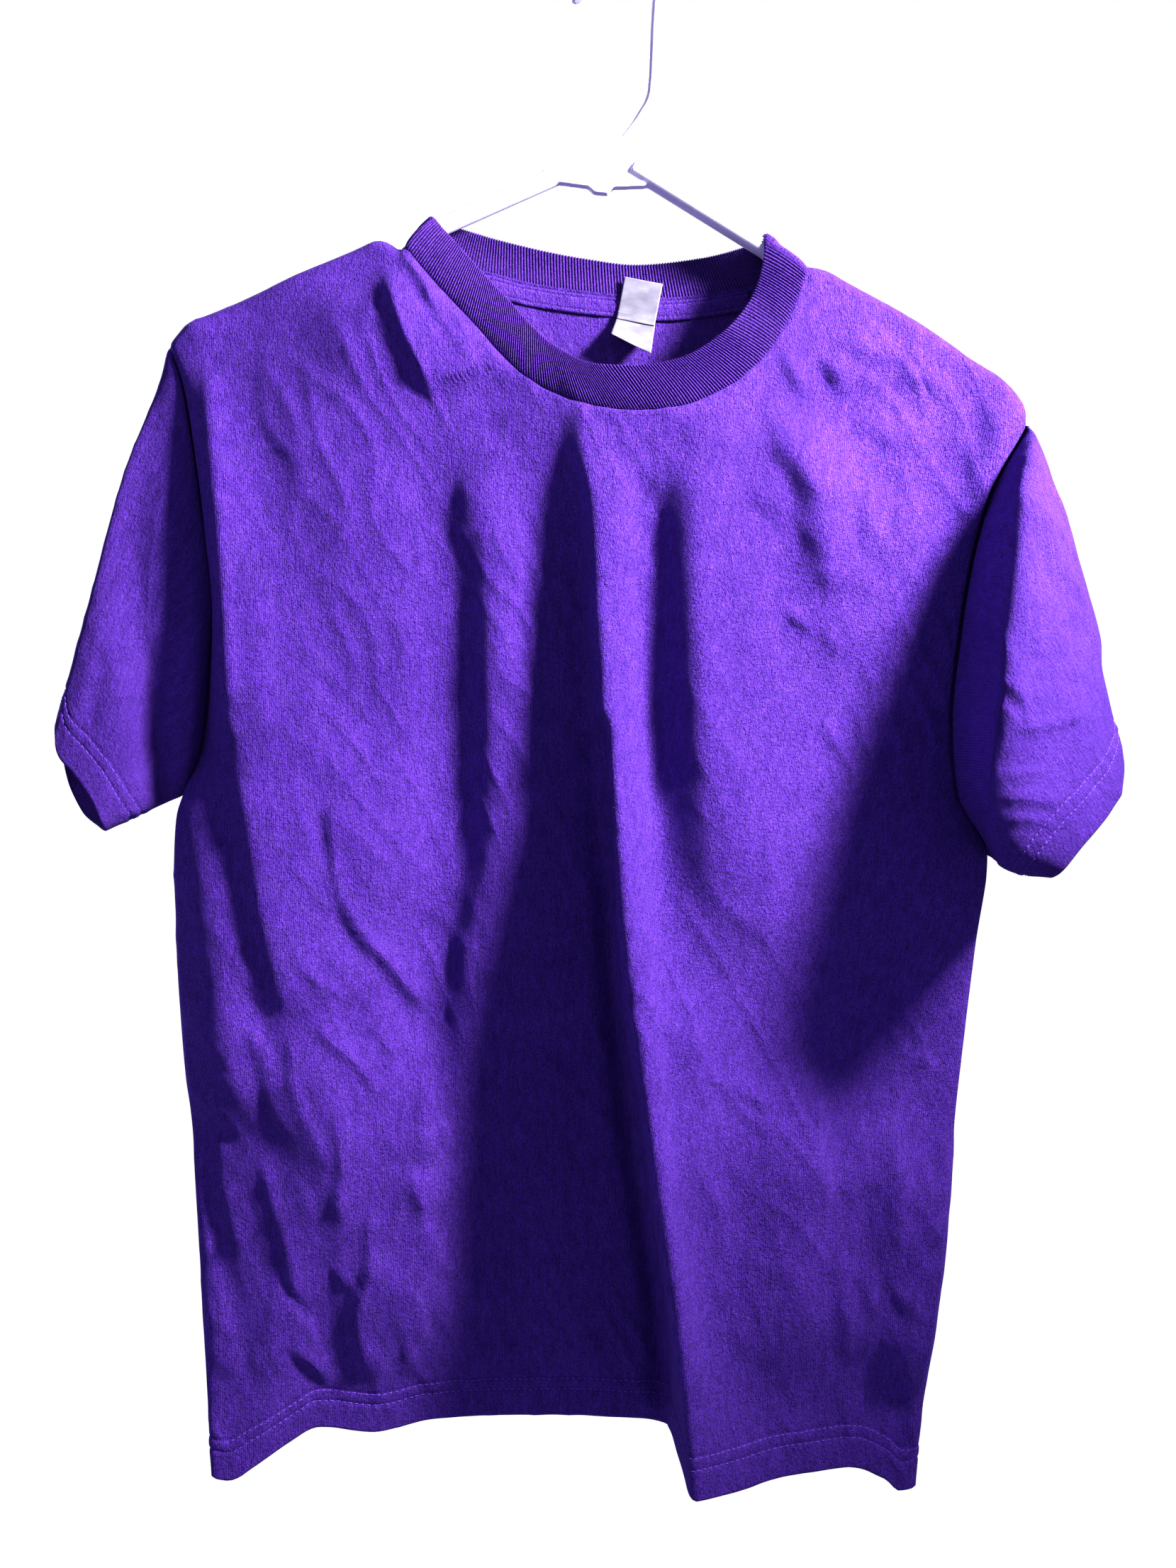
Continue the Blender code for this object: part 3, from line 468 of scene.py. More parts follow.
# ---- curves
def smooth(knots, values, at):
    """Values at given places of a smooth curve through the knots that doesn't overshoot them."""
    knots = np.asarray(knots, float)
    values = np.asarray(values, float)
    at = np.clip(at, knots[0], knots[-1])
    step = np.diff(knots)
    rise = np.diff(values) / step
    slope = np.zeros_like(values)
    inner = rise[:-1] * rise[1:] > 0
    weight_a = 2 * step[1:] + step[:-1]
    weight_b = step[1:] + 2 * step[:-1]
    safe_a = np.where(inner, rise[:-1], 1.0)
    safe_b = np.where(inner, rise[1:], 1.0)
    slope[1:-1] = np.where(inner, (weight_a + weight_b) / (weight_a / safe_a + weight_b / safe_b), 0.0)
    slope[0], slope[-1] = rise[0], rise[-1]
    span = np.clip(np.searchsorted(knots, at, side="right") - 1, 0, len(step) - 1)
    t = (at - knots[span]) / step[span]
    a, b = values[span], values[span + 1]
    return (a * (1 + 2 * t) * (1 - t) ** 2 + slope[span] * step[span] * t * (1 - t) ** 2
            + b * t * t * (3 - 2 * t) + slope[span + 1] * step[span] * t * t * (t - 1))


def table(rows, column, at):
    """One column of a table whose first column is the place along it."""
    rows = sorted(rows)
    return smooth([row[0] for row in rows], [row[column] for row in rows], at)


def eased(t):
    """0 to 1 with flat ends."""
    t = np.clip(t, 0, 1)
    return t * t * (3 - 2 * t)


def lengths_along(points):
    """Distance from a line's first point to each of its points."""
    steps = np.linalg.norm(np.diff(points, axis=0), axis=1)
    return np.concatenate([[0.0], np.cumsum(steps)])


def travelled(rows, axis):
    """Distance down the columns (axis 0) or along the rows (axis 1) of a grid of points."""
    steps = np.cumsum(np.linalg.norm(np.diff(rows, axis=axis), axis=2), axis=axis)
    return np.insert(steps, 0, 0.0, axis=axis)


def unit(vectors):
    return vectors / np.maximum(np.linalg.norm(vectors, axis=-1, keepdims=True), 1e-9)


def nearest_on(line, points):
    """For each point the nearest piece of a line, the share along that piece, and the way from there."""
    start, step = line[:-1], np.diff(line, axis=0)
    off = points[:, None] - start
    share = np.clip((off * step).sum(-1) / (step ** 2).sum(-1), 0, 1)
    away = off - share[..., None] * step
    nearest = np.linalg.norm(away, axis=-1).argmin(axis=1)
    here = np.arange(len(points)), nearest
    return nearest, share[here], away[here]


def resampled(points, shares):
    """Points at given shares of the length of a line."""
    along = lengths_along(points)
    return np.stack([np.interp(shares * along[-1], along, column) for column in points.T], axis=1)


def line_through(points, count):
    """Evenly spaced points on a smooth line through the given points."""
    points = np.asarray(points, float)
    along = lengths_along(points)
    fine = np.linspace(0, along[-1], count * 4)
    dense = np.stack([smooth(along, column, fine) for column in points.T], axis=1)
    return resampled(dense, np.linspace(0, 1, count))


def ring_through(points, at):
    """Points of a closed Catmull-Rom ring, where place k is the k-th given point."""
    points = np.asarray(points, float)
    count = len(points)
    base = np.floor(at).astype(int)
    t = (at - base)[:, None]
    p0, p1, p2, p3 = (points[(base + k) % count] for k in (-1, 0, 1, 2))
    return 0.5 * (2 * p1 + (p2 - p0) * t + (2 * p0 - 5 * p1 + 4 * p2 - p3) * t ** 2
                  + (3 * p1 - p0 - 3 * p2 + p3) * t ** 3)


def outward(rows, ring=False):
    """Unit normals of a grid of points, by differences along its rows and columns."""
    down = np.gradient(rows, axis=0)
    if ring:
        side = (np.roll(rows, -1, axis=1) - np.roll(rows, 1, axis=1)) / 2
    else:
        side = np.gradient(rows, axis=1)
    return unit(np.cross(down, side))


# ---- hanger lines
def rolled(along, height):
    """From the hanger's own level frame, with the arms' apex at zero, to x and z."""
    x = APEX_X + along * math.cos(HANGER_ROLL) + height * math.sin(HANGER_ROLL)
    z = APEX_Z - along * math.sin(HANGER_ROLL) + height * math.cos(HANGER_ROLL)
    return np.stack([x, z], axis=-1)


def arm_line(along, notch_share=1.0):
    """Height of the arms' centre line in the hanger's own frame, with its strap notches."""
    away = np.abs(along)
    reach = np.clip((away - NOTCH_AT) / NOTCH_HALF, -1, 1)
    notch = notch_share * NOTCH_DEPTH * (0.5 + 0.5 * np.cos(np.pi * reach))
    return -ARM_RADIUS / math.cos(ARM_PITCH) - math.tan(ARM_PITCH) * away - notch


def frame_line(count=90, turns=14):
    """Centre line of arms, end bends and lower bar."""
    arm = np.linspace(-ARM_START, -ARM_END, count)
    right_arm = np.stack([arm, arm_line(arm)], axis=1)
    end = right_arm[-1]
    centre = end + END_BEND * np.array([math.sin(ARM_PITCH), -math.cos(ARM_PITCH)])
    angles = np.linspace(math.pi / 2 + ARM_PITCH, 3 * math.pi / 2, turns)[1:]
    bend = centre + END_BEND * np.stack([np.cos(angles), np.sin(angles)], axis=1)
    bar = np.array([[0.0, bend[-1, 1]]])
    half = np.concatenate([right_arm, bend])
    whole = np.concatenate([half, bar, half[::-1] * [-1, 1]])
    return rolled(whole[:, 0], whole[:, 1])


def cloth_crown():
    """x and height of the line along which the cloth lies on the arms, drooping past their ends."""
    along = np.linspace(-250, 250, 1001)
    line = rolled(along, arm_line(along, np.where(along < 0, *NOTCH_FOLLOWED)))
    x = np.linspace(-245, 224, 939)
    radius = ARM_RADIUS + CROWN_GAP + CAD_CLOTH
    off = x[:, None] - line[None, :, 0]
    over = line[None, :, 1] + np.sqrt(np.clip(radius ** 2 - off ** 2, 0, None))
    height = np.where(np.abs(off) < radius, over, -999)
    (right, right_turn), (left, left_turn) = DROOPS
    droop = np.clip(right - x, 0, None) ** 2 / right_turn + np.clip(x - left, 0, None) ** 2 / left_turn
    return x, height.max(axis=1) - droop


CROWN_X, CROWN_Z = cloth_crown()


def crown(x):
    """Height of the cloth's top line."""
    return np.interp(x, CROWN_X, CROWN_Z)


def off_the_arms(rows, clear):
    """The same points, moved straight away from the arms where they come too near."""
    line = frame_line(40, 8)
    arms = np.stack([line[:, 0], np.zeros(len(line)), line[:, 1]], axis=1)
    moved = rows.reshape(-1, 3).copy()
    near = np.abs(moved[:, 1]) < clear + 1
    _, _, away = nearest_on(arms, moved[near])
    distance = np.linalg.norm(away, axis=1, keepdims=True)
    moved[near] += away / distance * np.clip(clear - distance, 0, None)
    return moved.reshape(rows.shape)


# ---- body panels
class Panel:
    """One body panel as a surface: place across it (0 to 1) and height give x and depth."""

    def __init__(self, sections, facing, edge_column, hem, neckline):
        self.sections = sections
        self.facing = facing
        self.edge_column = edge_column
        self.hem = hem
        ends = [(x, float(crown(x))) for x in (NECK_RIGHT_X, NECK_LEFT_X)]
        self.neckline = [ends[0], *neckline, ends[1]]
        self.plans = np.stack([self.plan(z) for z in PANEL_HEIGHTS])

    def plan(self, z, count=401):
        """Evenly spaced points of the panel's plan at one height."""
        ends = []
        for edge, underarm, inward in ((RIGHT_EDGE, RIGHT_UNDERARM_Z, 1), (LEFT_EDGE, LEFT_UNDERARM_Z, -1)):
            x = float(table(edge, 1, z))
            y = float(table(edge, self.edge_column, z)) + self.facing * SEAM_GAP / 2
            closed = min(max((underarm + TURN_STARTS - z) / TURN_OVER, 0.0), 1.0)
            turn = SIDE_TURN * closed + ARMHOLE_TURN * (1 - closed)
            ends.append([(x, y), (x + inward * 0.05, y + self.facing * 0.3 * turn),
                         (x + inward * 0.3 * turn, y + self.facing * 0.75 * turn)])
        folds = [[float(table([(row[0], row[k][axis]) for row in self.sections], 1, z)) for axis in (0, 1)]
                 for k in range(1, len(self.sections[0]))]
        return line_through(ends[0] + folds + ends[1][::-1], count)

    def at(self, across, z):
        """x and depth for arrays of places across and heights, rounded over the arms."""
        plans = self.plans
        rows, columns = plans.shape[:2]
        row = np.clip((z - PANEL_HEIGHTS[0]) / (PANEL_HEIGHTS[1] - PANEL_HEIGHTS[0]), 0, rows - 1.001)
        col = np.clip(across * (columns - 1), 0, columns - 1.001)
        r, c = row.astype(int), col.astype(int)
        fr, fc = (row - r)[..., None], (col - c)[..., None]
        xy = ((plans[r, c] * (1 - fc) + plans[r, c + 1] * fc) * (1 - fr)
              + (plans[r + 1, c] * (1 - fc) + plans[r + 1, c + 1] * fc) * fr)
        below = np.clip((crown(xy[..., 0]) - z) / CROWN_ROUND, 0, 1)
        rounded = np.sqrt(np.clip(1 - (1 - below) ** 2, 0, 1))
        seam = self.facing * SEAM_GAP / 2
        return xy[..., 0], seam + (xy[..., 1] - seam) * rounded

    def top(self, x):
        """Height of the top edge: the neckline, and the arms' cloth line beside it."""
        neck = table(self.neckline, 1, x)
        inside = (x > NECK_RIGHT_X) & (x < NECK_LEFT_X)
        return np.where(inside, np.minimum(neck, crown(x)), crown(x))

    def top_height(self, across):
        """Height where each place across meets the top edge."""
        low, high = (np.full_like(across, z) for z in TOP_BETWEEN)
        for _ in range(30):
            middle = (low + high) / 2
            x, _ = self.at(across, middle)
            under = middle < self.top(x)
            low = np.where(under, middle, low)
            high = np.where(under, high, middle)
        return (low + high) / 2

    def top_line(self, count=2401):
        """Places across and points all along the top edge."""
        fine = np.linspace(0, 1, count)
        z = self.top_height(fine)
        x, y = self.at(fine, z)
        return fine, np.stack([x, y, z], axis=1)

    def neck_line(self, count):
        """Evenly spaced points of the neckline."""
        _, line = self.top_line()
        inside = (line[:, 0] >= NECK_RIGHT_X) & (line[:, 0] <= NECK_LEFT_X)
        return resampled(line[inside], np.linspace(0, 1, count))

    def grid(self, columns, top_drops, body_rows):
        """Rows of points from the top edge down to the hem: first by drops in millimetres, then by shares."""
        fine, line = self.top_line()
        along = lengths_along(line)
        right, left = np.interp((NECK_RIGHT_X, NECK_LEFT_X), line[:, 0], along)
        breaks = [round(columns * share) for share in (right / along[-1], left / along[-1])]
        top_along = np.concatenate([np.linspace(0, right, breaks[0], endpoint=False),
                                    np.linspace(right, left, breaks[1] - breaks[0], endpoint=False),
                                    np.linspace(left, along[-1], columns - breaks[1])])
        top_across = np.interp(top_along, along, fine)
        edge, wide = EDGE_PLACES, columns - 2 * len(EDGE_PLACES) + 2
        hem_across = np.concatenate([edge, np.linspace(edge[-1], 1 - edge[-1], wide)[1:-1], 1 - edge[::-1]])
        rows = []
        for drop, share in [(d, 0.0) for d in top_drops] + [(top_drops[-1], s) for s in body_rows[1:]]:
            blend = eased(1 - share / 0.5)
            across = top_across * blend + hem_across * (1 - blend)
            upper = self.top_height(across) - drop
            x_low, _ = self.at(across, np.full_like(across, NEAR_HEM_Z))
            lower = table(self.hem, 1, x_low)
            z = upper + (lower - upper) * share
            x, y = self.at(across, z)
            rows.append(np.stack([x, y, z], axis=1))
        return np.stack(rows)


# ---- cloth detail
MIDDLE_X = -60.0                      # where a panel's wales run straight down
PIXEL = 0.385                         # millimetres of cloth to a pixel of the photograph
CREASE_STRENGTH = 1.22
SHARP_SPREAD = 1.35                   # width of a sharp crease, over what its row says
CLIMB_BELOW, CLIMB_OVER, CLIMB_POWER = 0.8, 1.3, 1.6  # a sharp crease's rise to its crest, in its widths
CREST_AT, CREST_FALL = 0.5, 2.2       # its crest, and how gently it falls behind
SOFT_FALL = 2.5                       # the same of a broad one
ROUND_HEIGHT = 1.5 / 0.607            # of a ridge, over its slope times its width
CREASE_REACH = 5.8                    # widths from its line where every crease has faded out
END_SHARE, END_WIDTHS, END_MORE = 0.42, 3, 14  # how much of a crease's length its ends fade over
TOWARDS_LIGHT = np.array([0.78, -0.62])  # in the photograph's frame, columns to the right and rows down
UNEVEN = 1.8                          # broad unevenness of a panel
FORWARD = (0.25, 1.0, 0.25)           # folds move a panel mostly in depth, so that its outline stays
CALM, SLEEVE_CALM = 10.0, 9.0         # creases fade out this near to the seams
GATHERS, GATHERS_BELOW = 0.6, 9       # small gathers under the neckline
SEAM_SUNK = 0.9                       # a side seam draws in
NECK_SUNK, SHOULDER_SUNK = 1.1, 0.25
HEM_PROUD, EDGE_ROLLED, ROW_SUNK, PUCKERED = 0.35, 0.75, 0.65, 0.75  # relief of a hem
STEP_OVER, ROLL_OVER, PUCKERS_OVER = 1.2, 1.1, 8.0  # and how far up and down it reaches


def crease_height(pixels, creases):
    """Millimetres that the creases raise the cloth at each pixel place."""
    flat = pixels.reshape(-1, 2)
    raised = np.zeros(len(flat))
    for kind, steep, wide, *path in creases:
        path = np.array(path)
        along = lengths_along(path)
        places = np.linspace(0, 1, 8 * (len(path) - 1) + 1) * along[-1]
        fine = np.stack([smooth(along, column, places) for column in path.T], axis=1)
        reach = 6 * wide
        near = np.all((flat > fine.min(0) - reach) & (flat < fine.max(0) + reach), axis=1)
        if not near.any():
            continue
        nearest, share, away = nearest_on(fine, flat[near])
        passed = lengths_along(fine)
        length = np.diff(passed)
        step = np.diff(fine, axis=0)
        side = np.stack([-step[:, 1], step[:, 0]], axis=1) / length[:, None]
        side *= np.sign(side @ TOWARDS_LIGHT)[:, None]
        place = passed[nearest] + share * length[nearest]
        from_end = np.minimum(place, passed[-1] - place)
        fade = eased(from_end / min(END_SHARE * passed[-1], END_WIDTHS * wide + END_MORE))
        sharp = kind in ("dark", "light")
        spread = wide * (SHARP_SPREAD if sharp else 1.0)
        off = np.linalg.norm(away, axis=1) / spread
        across = (away * side[nearest]).sum(-1) / spread * (1 if kind in ("dark", "shade") else -1)
        if sharp:
            climb = np.clip((across + CLIMB_BELOW) / CLIMB_OVER, 0, 1) ** CLIMB_POWER
            fall = np.exp((CREST_AT - across) / CREST_FALL)
            height = CREASE_STRENGTH * np.where(across < CREST_AT, climb, fall)
        elif kind in ("shade", "glow"):
            height = np.where(across < 1, eased((across + 1) / 2), beside(across - 1, SOFT_FALL))
        else:
            height = ROUND_HEIGHT * np.exp(-0.5 * off ** 2) * (-1 if kind == "trough" else 1)
        raised[near] += steep * spread * PIXEL * height * fade * eased((CREASE_REACH - off) / 2)
    return raised.reshape(pixels.shape[:-1])


def ripple(points, size, seed):
    """Smooth noise from -1 to 1 at points in millimetres; size gives its length in x, y and z."""
    scaled = points.reshape(-1, 3) / np.asarray(size)
    values = [noise.noise(Vector((p[0] + seed, p[1], p[2] - seed))) for p in scaled]
    return np.array(values).reshape(points.shape[:-1])


SMALL_PUCKERS, FINE_PUCKERS, THIN_CREASES = 0.24, 0.10, 1.5
THIN_SLANT, THIN_SHARP = 0.5, 2.6     # how far thin creases lean, and how narrow they are


def crumple(points, seed):
    """Small uneven puckers and, in patches, thin wandering creases of washed jersey."""
    small = SMALL_PUCKERS * ripple(points, (9.5, 30, 17), seed + 7)
    small += FINE_PUCKERS * ripple(points, (5, 20, 7), seed + 9)
    slanted = points.copy()
    slanted[..., 0] += THIN_SLANT * points[..., 2]
    thin = np.clip(1 - np.abs(ripple(slanted, (17, 60, 55), seed + 11)) * THIN_SHARP, 0, 1) ** 2
    where = np.clip(ripple(points, (60, 90, 80), seed + 13) * 1.5 + 0.45, 0, 1)
    return small + THIN_CREASES * where * thin


def beside(distance, width):
    """1 at a line, falling to nothing beside it."""
    return np.exp(-(distance / width) ** 2)


def hem_profile(up, puckers):
    """Offset of the cloth near a hem, for the distance up from its fold."""
    double = HEM_PROUD * eased((HEM_DEPTH + STEP_OVER - up) / 2.0)
    rolled_edge = -EDGE_ROLLED * np.clip(1 - up / ROLL_OVER, 0, 1) ** 2
    sunk = -ROW_SUNK * (beside(up - HEM_DEPTH, 1.0) + beside(up - HEM_DEPTH + ROW_APART, 1.0))
    pull = PUCKERED * puckers * beside(up - HEM_DEPTH + ROW_APART / 2, PUCKERS_OVER)
    return double + rolled_edge + sunk + pull


# ---- meshes
HEM_STITCH = (3.3, 2.5, 0.34)         # pitch, length and radius
TAPE_STITCH = (2.6, 1.9, 0.22)
STITCH_SINK = 0.05
STITCH_ENDS = np.array((-1.0, -0.75, 0.0, 0.75, 1.0))  # rings of a stitch, as shares of half its length
STITCH_SIDES = 6


def placed(name, data):
    """A new object in the scene."""
    made = bpy.data.objects.new(name, data)
    bpy.context.scene.collection.objects.link(made)
    return made


def finish_piece(piece, look, slot, *nodes):
    """Gives a piece its look and its body, and hides the CAD nodes that it stands for; slot is not used."""
    piece.data.materials.append(look)
    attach(piece, "root")
    if nodes:
        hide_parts(*nodes)
    return piece


def grid_mesh(name, rows, facing=1, ring=False, uv=None, crosswise=False):
    """A mesh of quads on rows of points in millimetres; uv gives each point's place in the cloth, in mm."""
    rows = np.asarray(rows)
    height, width = rows.shape[:2]
    across = width if ring else width - 1
    down = height if crosswise else height - 1
    r, c = np.meshgrid(np.arange(down), np.arange(across), indexing="ij")
    d, b = (c + 1) % width, (r + 1) % height
    corners = np.stack([r * width + c, b * width + c, b * width + d, r * width + d], axis=-1)
    if facing < 0:
        corners = corners[..., ::-1]
    faces = corners.reshape(-1, 4)
    mesh = bpy.data.meshes.new(name)
    mesh.vertices.add(height * width)
    mesh.vertices.foreach_set("co", rows.reshape(-1) * MM)
    mesh.loops.add(faces.size)
    mesh.loops.foreach_set("vertex_index", faces.reshape(-1))
    mesh.polygons.add(len(faces))
    mesh.polygons.foreach_set("loop_start", np.arange(0, faces.size, 4))
    mesh.update(calc_edges=True)
    if uv is not None:
        layer = mesh.uv_layers.new(name="cloth")
        places = uv.reshape(-1, 2)[faces]
        if ring:                      # keep the last column of faces in step with its neighbours
            girth = uv[..., 0].max()
            last = np.ptp(places[:, :, 0], axis=1) > girth / 2
            places[last, :, 0] += (places[last, :, 0] < girth / 2) * girth * width / (width - 1)
        layer.data.foreach_set("uv", places.reshape(-1) * MM)
    mesh.shade_smooth()
    return placed(name, mesh)


def thicken(piece, thickness):
    """A wall of this thickness behind a surface."""
    wall = piece.modifiers.new("wall", "SOLIDIFY")
    wall.thickness = thickness * MM
    wall.offset = -1.0
    wall.use_rim = True


def cloth_places(rows):
    """Each point's mean distance along the rows and down the columns: the cloth's own coordinates."""
    return np.stack(np.meshgrid(travelled(rows, 1).mean(axis=0), travelled(rows, 0).mean(axis=1)), axis=-1)


def panel_places(rows):
    """Each point's place in a panel's cloth: its distance in plan from a line down the middle, and down."""
    along = travelled(rows[..., :2], 1)
    start = [np.interp(MIDDLE_X, row[:, 0], place) for row, place in zip(rows, along)]
    return np.stack([along - np.array(start)[:, None], -rows[..., 2]], axis=-1)


def stitches(name, line, normals, pitch, length, radius):
    """A row of short stitches along a line on the cloth, each a bent rod whose ends go into it."""
    along = lengths_along(line)
    count = int(along[-1] / pitch)
    starts = (np.arange(count) + 0.5) / count
    half = length / 2 / along[-1]
    before, middle, after = (resampled(line, np.clip(starts + off, 0, 1)) for off in (-half, 0, half))
    up = unit(resampled(normals, starts))
    ahead = unit(after - before)
    side = np.cross(ahead, up)
    turn = np.arange(STITCH_SIDES)[:, None] * 2 * math.pi / STITCH_SIDES
    wide = radius * np.sqrt(np.maximum(1 - STITCH_ENDS ** 4, 0.02))[:, None, None]
    rise = radius * (0.6 - 1.3 * STITCH_ENDS[:, None] ** 2) - STITCH_SINK
    centre = middle[:, None] + ahead[:, None] * STITCH_ENDS[:, None] * length / 2 + up[:, None] * rise
    around = side[:, None, None] * np.cos(turn) + up[:, None, None] * np.sin(turn)
    vertices = (centre[:, :, None] + wide * around).reshape(-1, 3)
    sides, last = range(STITCH_SIDES), (len(STITCH_ENDS) - 1) * STITCH_SIDES
    pattern = [(ring + a, ring + b, ring + STITCH_SIDES + b, ring + STITCH_SIDES + a)
               for ring in range(0, last, STITCH_SIDES) for a, b in zip(sides, (*sides[1:], 0))]
    pattern += [tuple(sides)[::-1], tuple(last + a for a in sides)]
    faces = [tuple(base + corner for corner in face)
             for base in range(0, len(vertices), last + STITCH_SIDES) for face in pattern]
    mesh = bpy.data.meshes.new(name)
    mesh.from_pydata((vertices * MM).tolist(), [], faces)
    mesh.shade_smooth()
    return finish_piece(placed(name, mesh), THREAD, "jersey")


# ---- materials
class Nodes:
    """Short calls for building one material's nodes."""

    def __init__(self, name):
        self.material = bpy.data.materials.new(name)
        self.material.use_nodes = True
        self.tree = self.material.node_tree
        self.shader = self.tree.nodes["Principled BSDF"]

    def add(self, kind, inputs=None, **settings):
        node = self.tree.nodes.new(kind)
        for key, value in settings.items():
            setattr(node, key, value)
        for key, value in (inputs or {}).items():
            self.put(value, node.inputs[key])
        return node

    def put(self, value, socket):
        if isinstance(value, bpy.types.NodeSocket):
            self.tree.links.new(value, socket)
        else:
            socket.default_value = value

    def math(self, operation, *values):
        node = self.add("ShaderNodeMath", operation=operation)
        for value, socket in zip(values, node.inputs):
            self.put(value, socket)
        return node.outputs[0]

    def total(self, *pairs):
        """The sum of values, each times its weight."""
        parts = [self.math("MULTIPLY", value, weight) for value, weight in pairs]
        whole = parts[0]
        for part in parts[1:]:
            whole = self.math("ADD", whole, part)
        return whole

    def cloth_map(self):
        return self.add("ShaderNodeUVMap", uv_map="cloth").outputs[0]

    def object_place(self):
        return self.add("ShaderNodeTexCoord").outputs["Object"]

    def noise(self, vector, scale, detail=3.0, rough=0.5):
        inputs = {"Vector": vector, "Scale": scale, "Detail": detail, "Roughness": rough}
        return self.add("ShaderNodeTexNoise", inputs).outputs["Fac"]

    def stretched(self, vector, stretch, scale, detail, rough=0.5):
        """Noise that is finer along some axes than along others."""
        mapped = self.add("ShaderNodeMapping", {"Vector": vector, "Scale": stretch}).outputs[0]
        return self.noise(mapped, scale, detail, rough)

    def ramp(self, factor, stops):
        node = self.add("ShaderNodeValToRGB", {"Fac": factor})
        stripe = node.color_ramp
        while len(stripe.elements) > len(stops):
            stripe.elements.remove(stripe.elements[-1])
        while len(stripe.elements) < len(stops):
            stripe.elements.new(0.5)
        for element, (place, colour) in zip(stripe.elements, stops):
            element.position = place
            element.color = (*colour, 1.0)
        return node.outputs[0]

    def bump(self, height, strength, distance, normal=None):
        node = self.add("ShaderNodeBump", {"Height": height, "Strength": strength, "Distance": distance})
        if normal is not None:
            self.put(normal, node.inputs["Normal"])
        return node.outputs[0]

    def finished(self, colour, normal=None, **values):
        """The material, with its shader's inputs joined and its plain values set."""
        self.put(colour, self.shader.inputs["Base Color"])
        if normal is not None:
            self.put(normal, self.shader.inputs["Normal"])
        for key, value in values.items():
            self.shader.inputs[key.replace("_", " ")].default_value = value
        return self.material


WALE, COURSE = 0.00095, 0.0008        # from stitch to stitch across and down plain jersey, in metres
PLAIN_GROOVE_SHADE = 0.22                   # painted shade: how much darker plain jersey is painted between its wales


def jersey(name, deep, pale, wale=WALE, wale_depth=0.5, groove=PLAIN_GROOVE_SHADE, phase=0.0, plain=True):
    """Cotton knit: fine wales along v of the cloth's own map, with painted shade between them, uneven yarn,
    and a soft nap.
    """
    n = Nodes(name)
    uv, place = n.cloth_map(), n.object_place()
    parts = n.add("ShaderNodeSeparateXYZ", {"Vector": uv})
    wander = n.math("MULTIPLY", n.stretched(uv, (60, 25, 1), 1.0, 2.0), 0.0016 if plain else 0.0)
    u = n.math("ADD", parts.outputs[0], wander)
    wales = n.math("ABSOLUTE", n.math("SINE", n.math("ADD", n.math("MULTIPLY", u, math.pi / wale), phase)))
    courses = n.math("SINE", n.math("MULTIPLY", parts.outputs[1], 2 * math.pi / COURSE))
    streaks = n.stretched(uv, (900, 160, 1), 1.0, 2.0, 0.6)
    mottle = n.stretched(uv, (260, 90, 1), 1.0, 4.0, 0.6)
    pills = n.stretched(uv, (820, 480, 1), 1.0, 3.0, 0.65)
    grain = n.stretched(place, (1.0, 1.0, 0.7), 700.0, 3.0, 0.7)
    nap = n.noise(place, 1300.0, 2.0, 0.65)
    # painted shade: groove darkens the tone between wales, and a larger groove moves the whole ramp to the
    # deep colour
    tone = n.total((wales, groove), (streaks, 0.30), (mottle, 0.42), (n.noise(place, 28.0, 2.0), 0.16))
    more = groove - PLAIN_GROOVE_SHADE
    colour = n.ramp(tone, ((0.36 + 0.45 * more, deep), (0.74 + 0.9 * more, pale)))
    relief = n.bump(n.total((wales, wale_depth), (courses, 0.12), (streaks, 0.7), (mottle, 1.6)), 0.9, 0.0007)
    if plain:                         # fine wandering wrinkles, in patches
        off = n.math("SUBTRACT", n.stretched(place, (1.0, 1.0, 0.5), 26.0, 2.0), 0.5)
        groove_line = n.math("MINIMUM", n.math("MULTIPLY", n.math("ABSOLUTE", off), 12.0), 1.0)
        patches = n.math("MAXIMUM", n.math("SUBTRACT", n.noise(place, 11.7, 1.0), 0.35), 0.0)
        lines = n.math("MULTIPLY", n.math("SUBTRACT", groove_line, 1.0), patches)
        relief = n.bump(lines, 1.0, 0.0024, relief)
    for height, strength, distance in ((pills, 1.0, 0.0018), (grain, 1.0, 0.0020), (nap, 0.6, 0.0005)):
        relief = n.bump(height, strength, distance, relief)
    return n.finished(colour, relief, Roughness=0.88, Specular_IOR_Level=0.25, Sheen_Weight=0.30,
                      Sheen_Roughness=0.45, Sheen_Tint=(0.45, 0.22, 1.0, 1.0))


def label_look():
    """Woven white satin, its colour painted grey with the shade of the shirt over it."""
    n = Nodes("white satin")
    uv = n.cloth_map()
    weave = n.stretched(uv, (4000, 700, 1), 1.0, 2.0)
    wrinkle_and_shade = n.stretched(uv, (90, 160, 1), 1.0, 2.0)
    # painted shade: the white satin is coloured grey for the shirt's shade over it, and lighter where its
    # wrinkles rise
    colour = n.ramp(wrinkle_and_shade, ((0.3, (0.17, 0.16, 0.20)), (0.7, (0.27, 0.26, 0.31))))
    relief = n.bump(wrinkle_and_shade, 0.3, 0.0006, n.bump(weave, 0.3, 0.0001))
    return n.finished(colour, relief, Roughness=0.5, Sheen_Weight=0.2)


def plastic_look():
    """Moulded plastic with a slightly cloudy surface."""
    n = Nodes("white plastic")
    place = n.object_place()
    cloud, grain = n.noise(place, 40.0, 2.0), n.noise(place, 2200.0, 2.0)
    colour = n.ramp(cloud, ((0.3, (0.80, 0.78, 0.86)), (0.7, (0.86, 0.84, 0.91))))
    return n.finished(colour, n.bump(grain, 0.12, 0.0001, n.bump(cloud, 0.15, 0.0015)), Roughness=0.38)


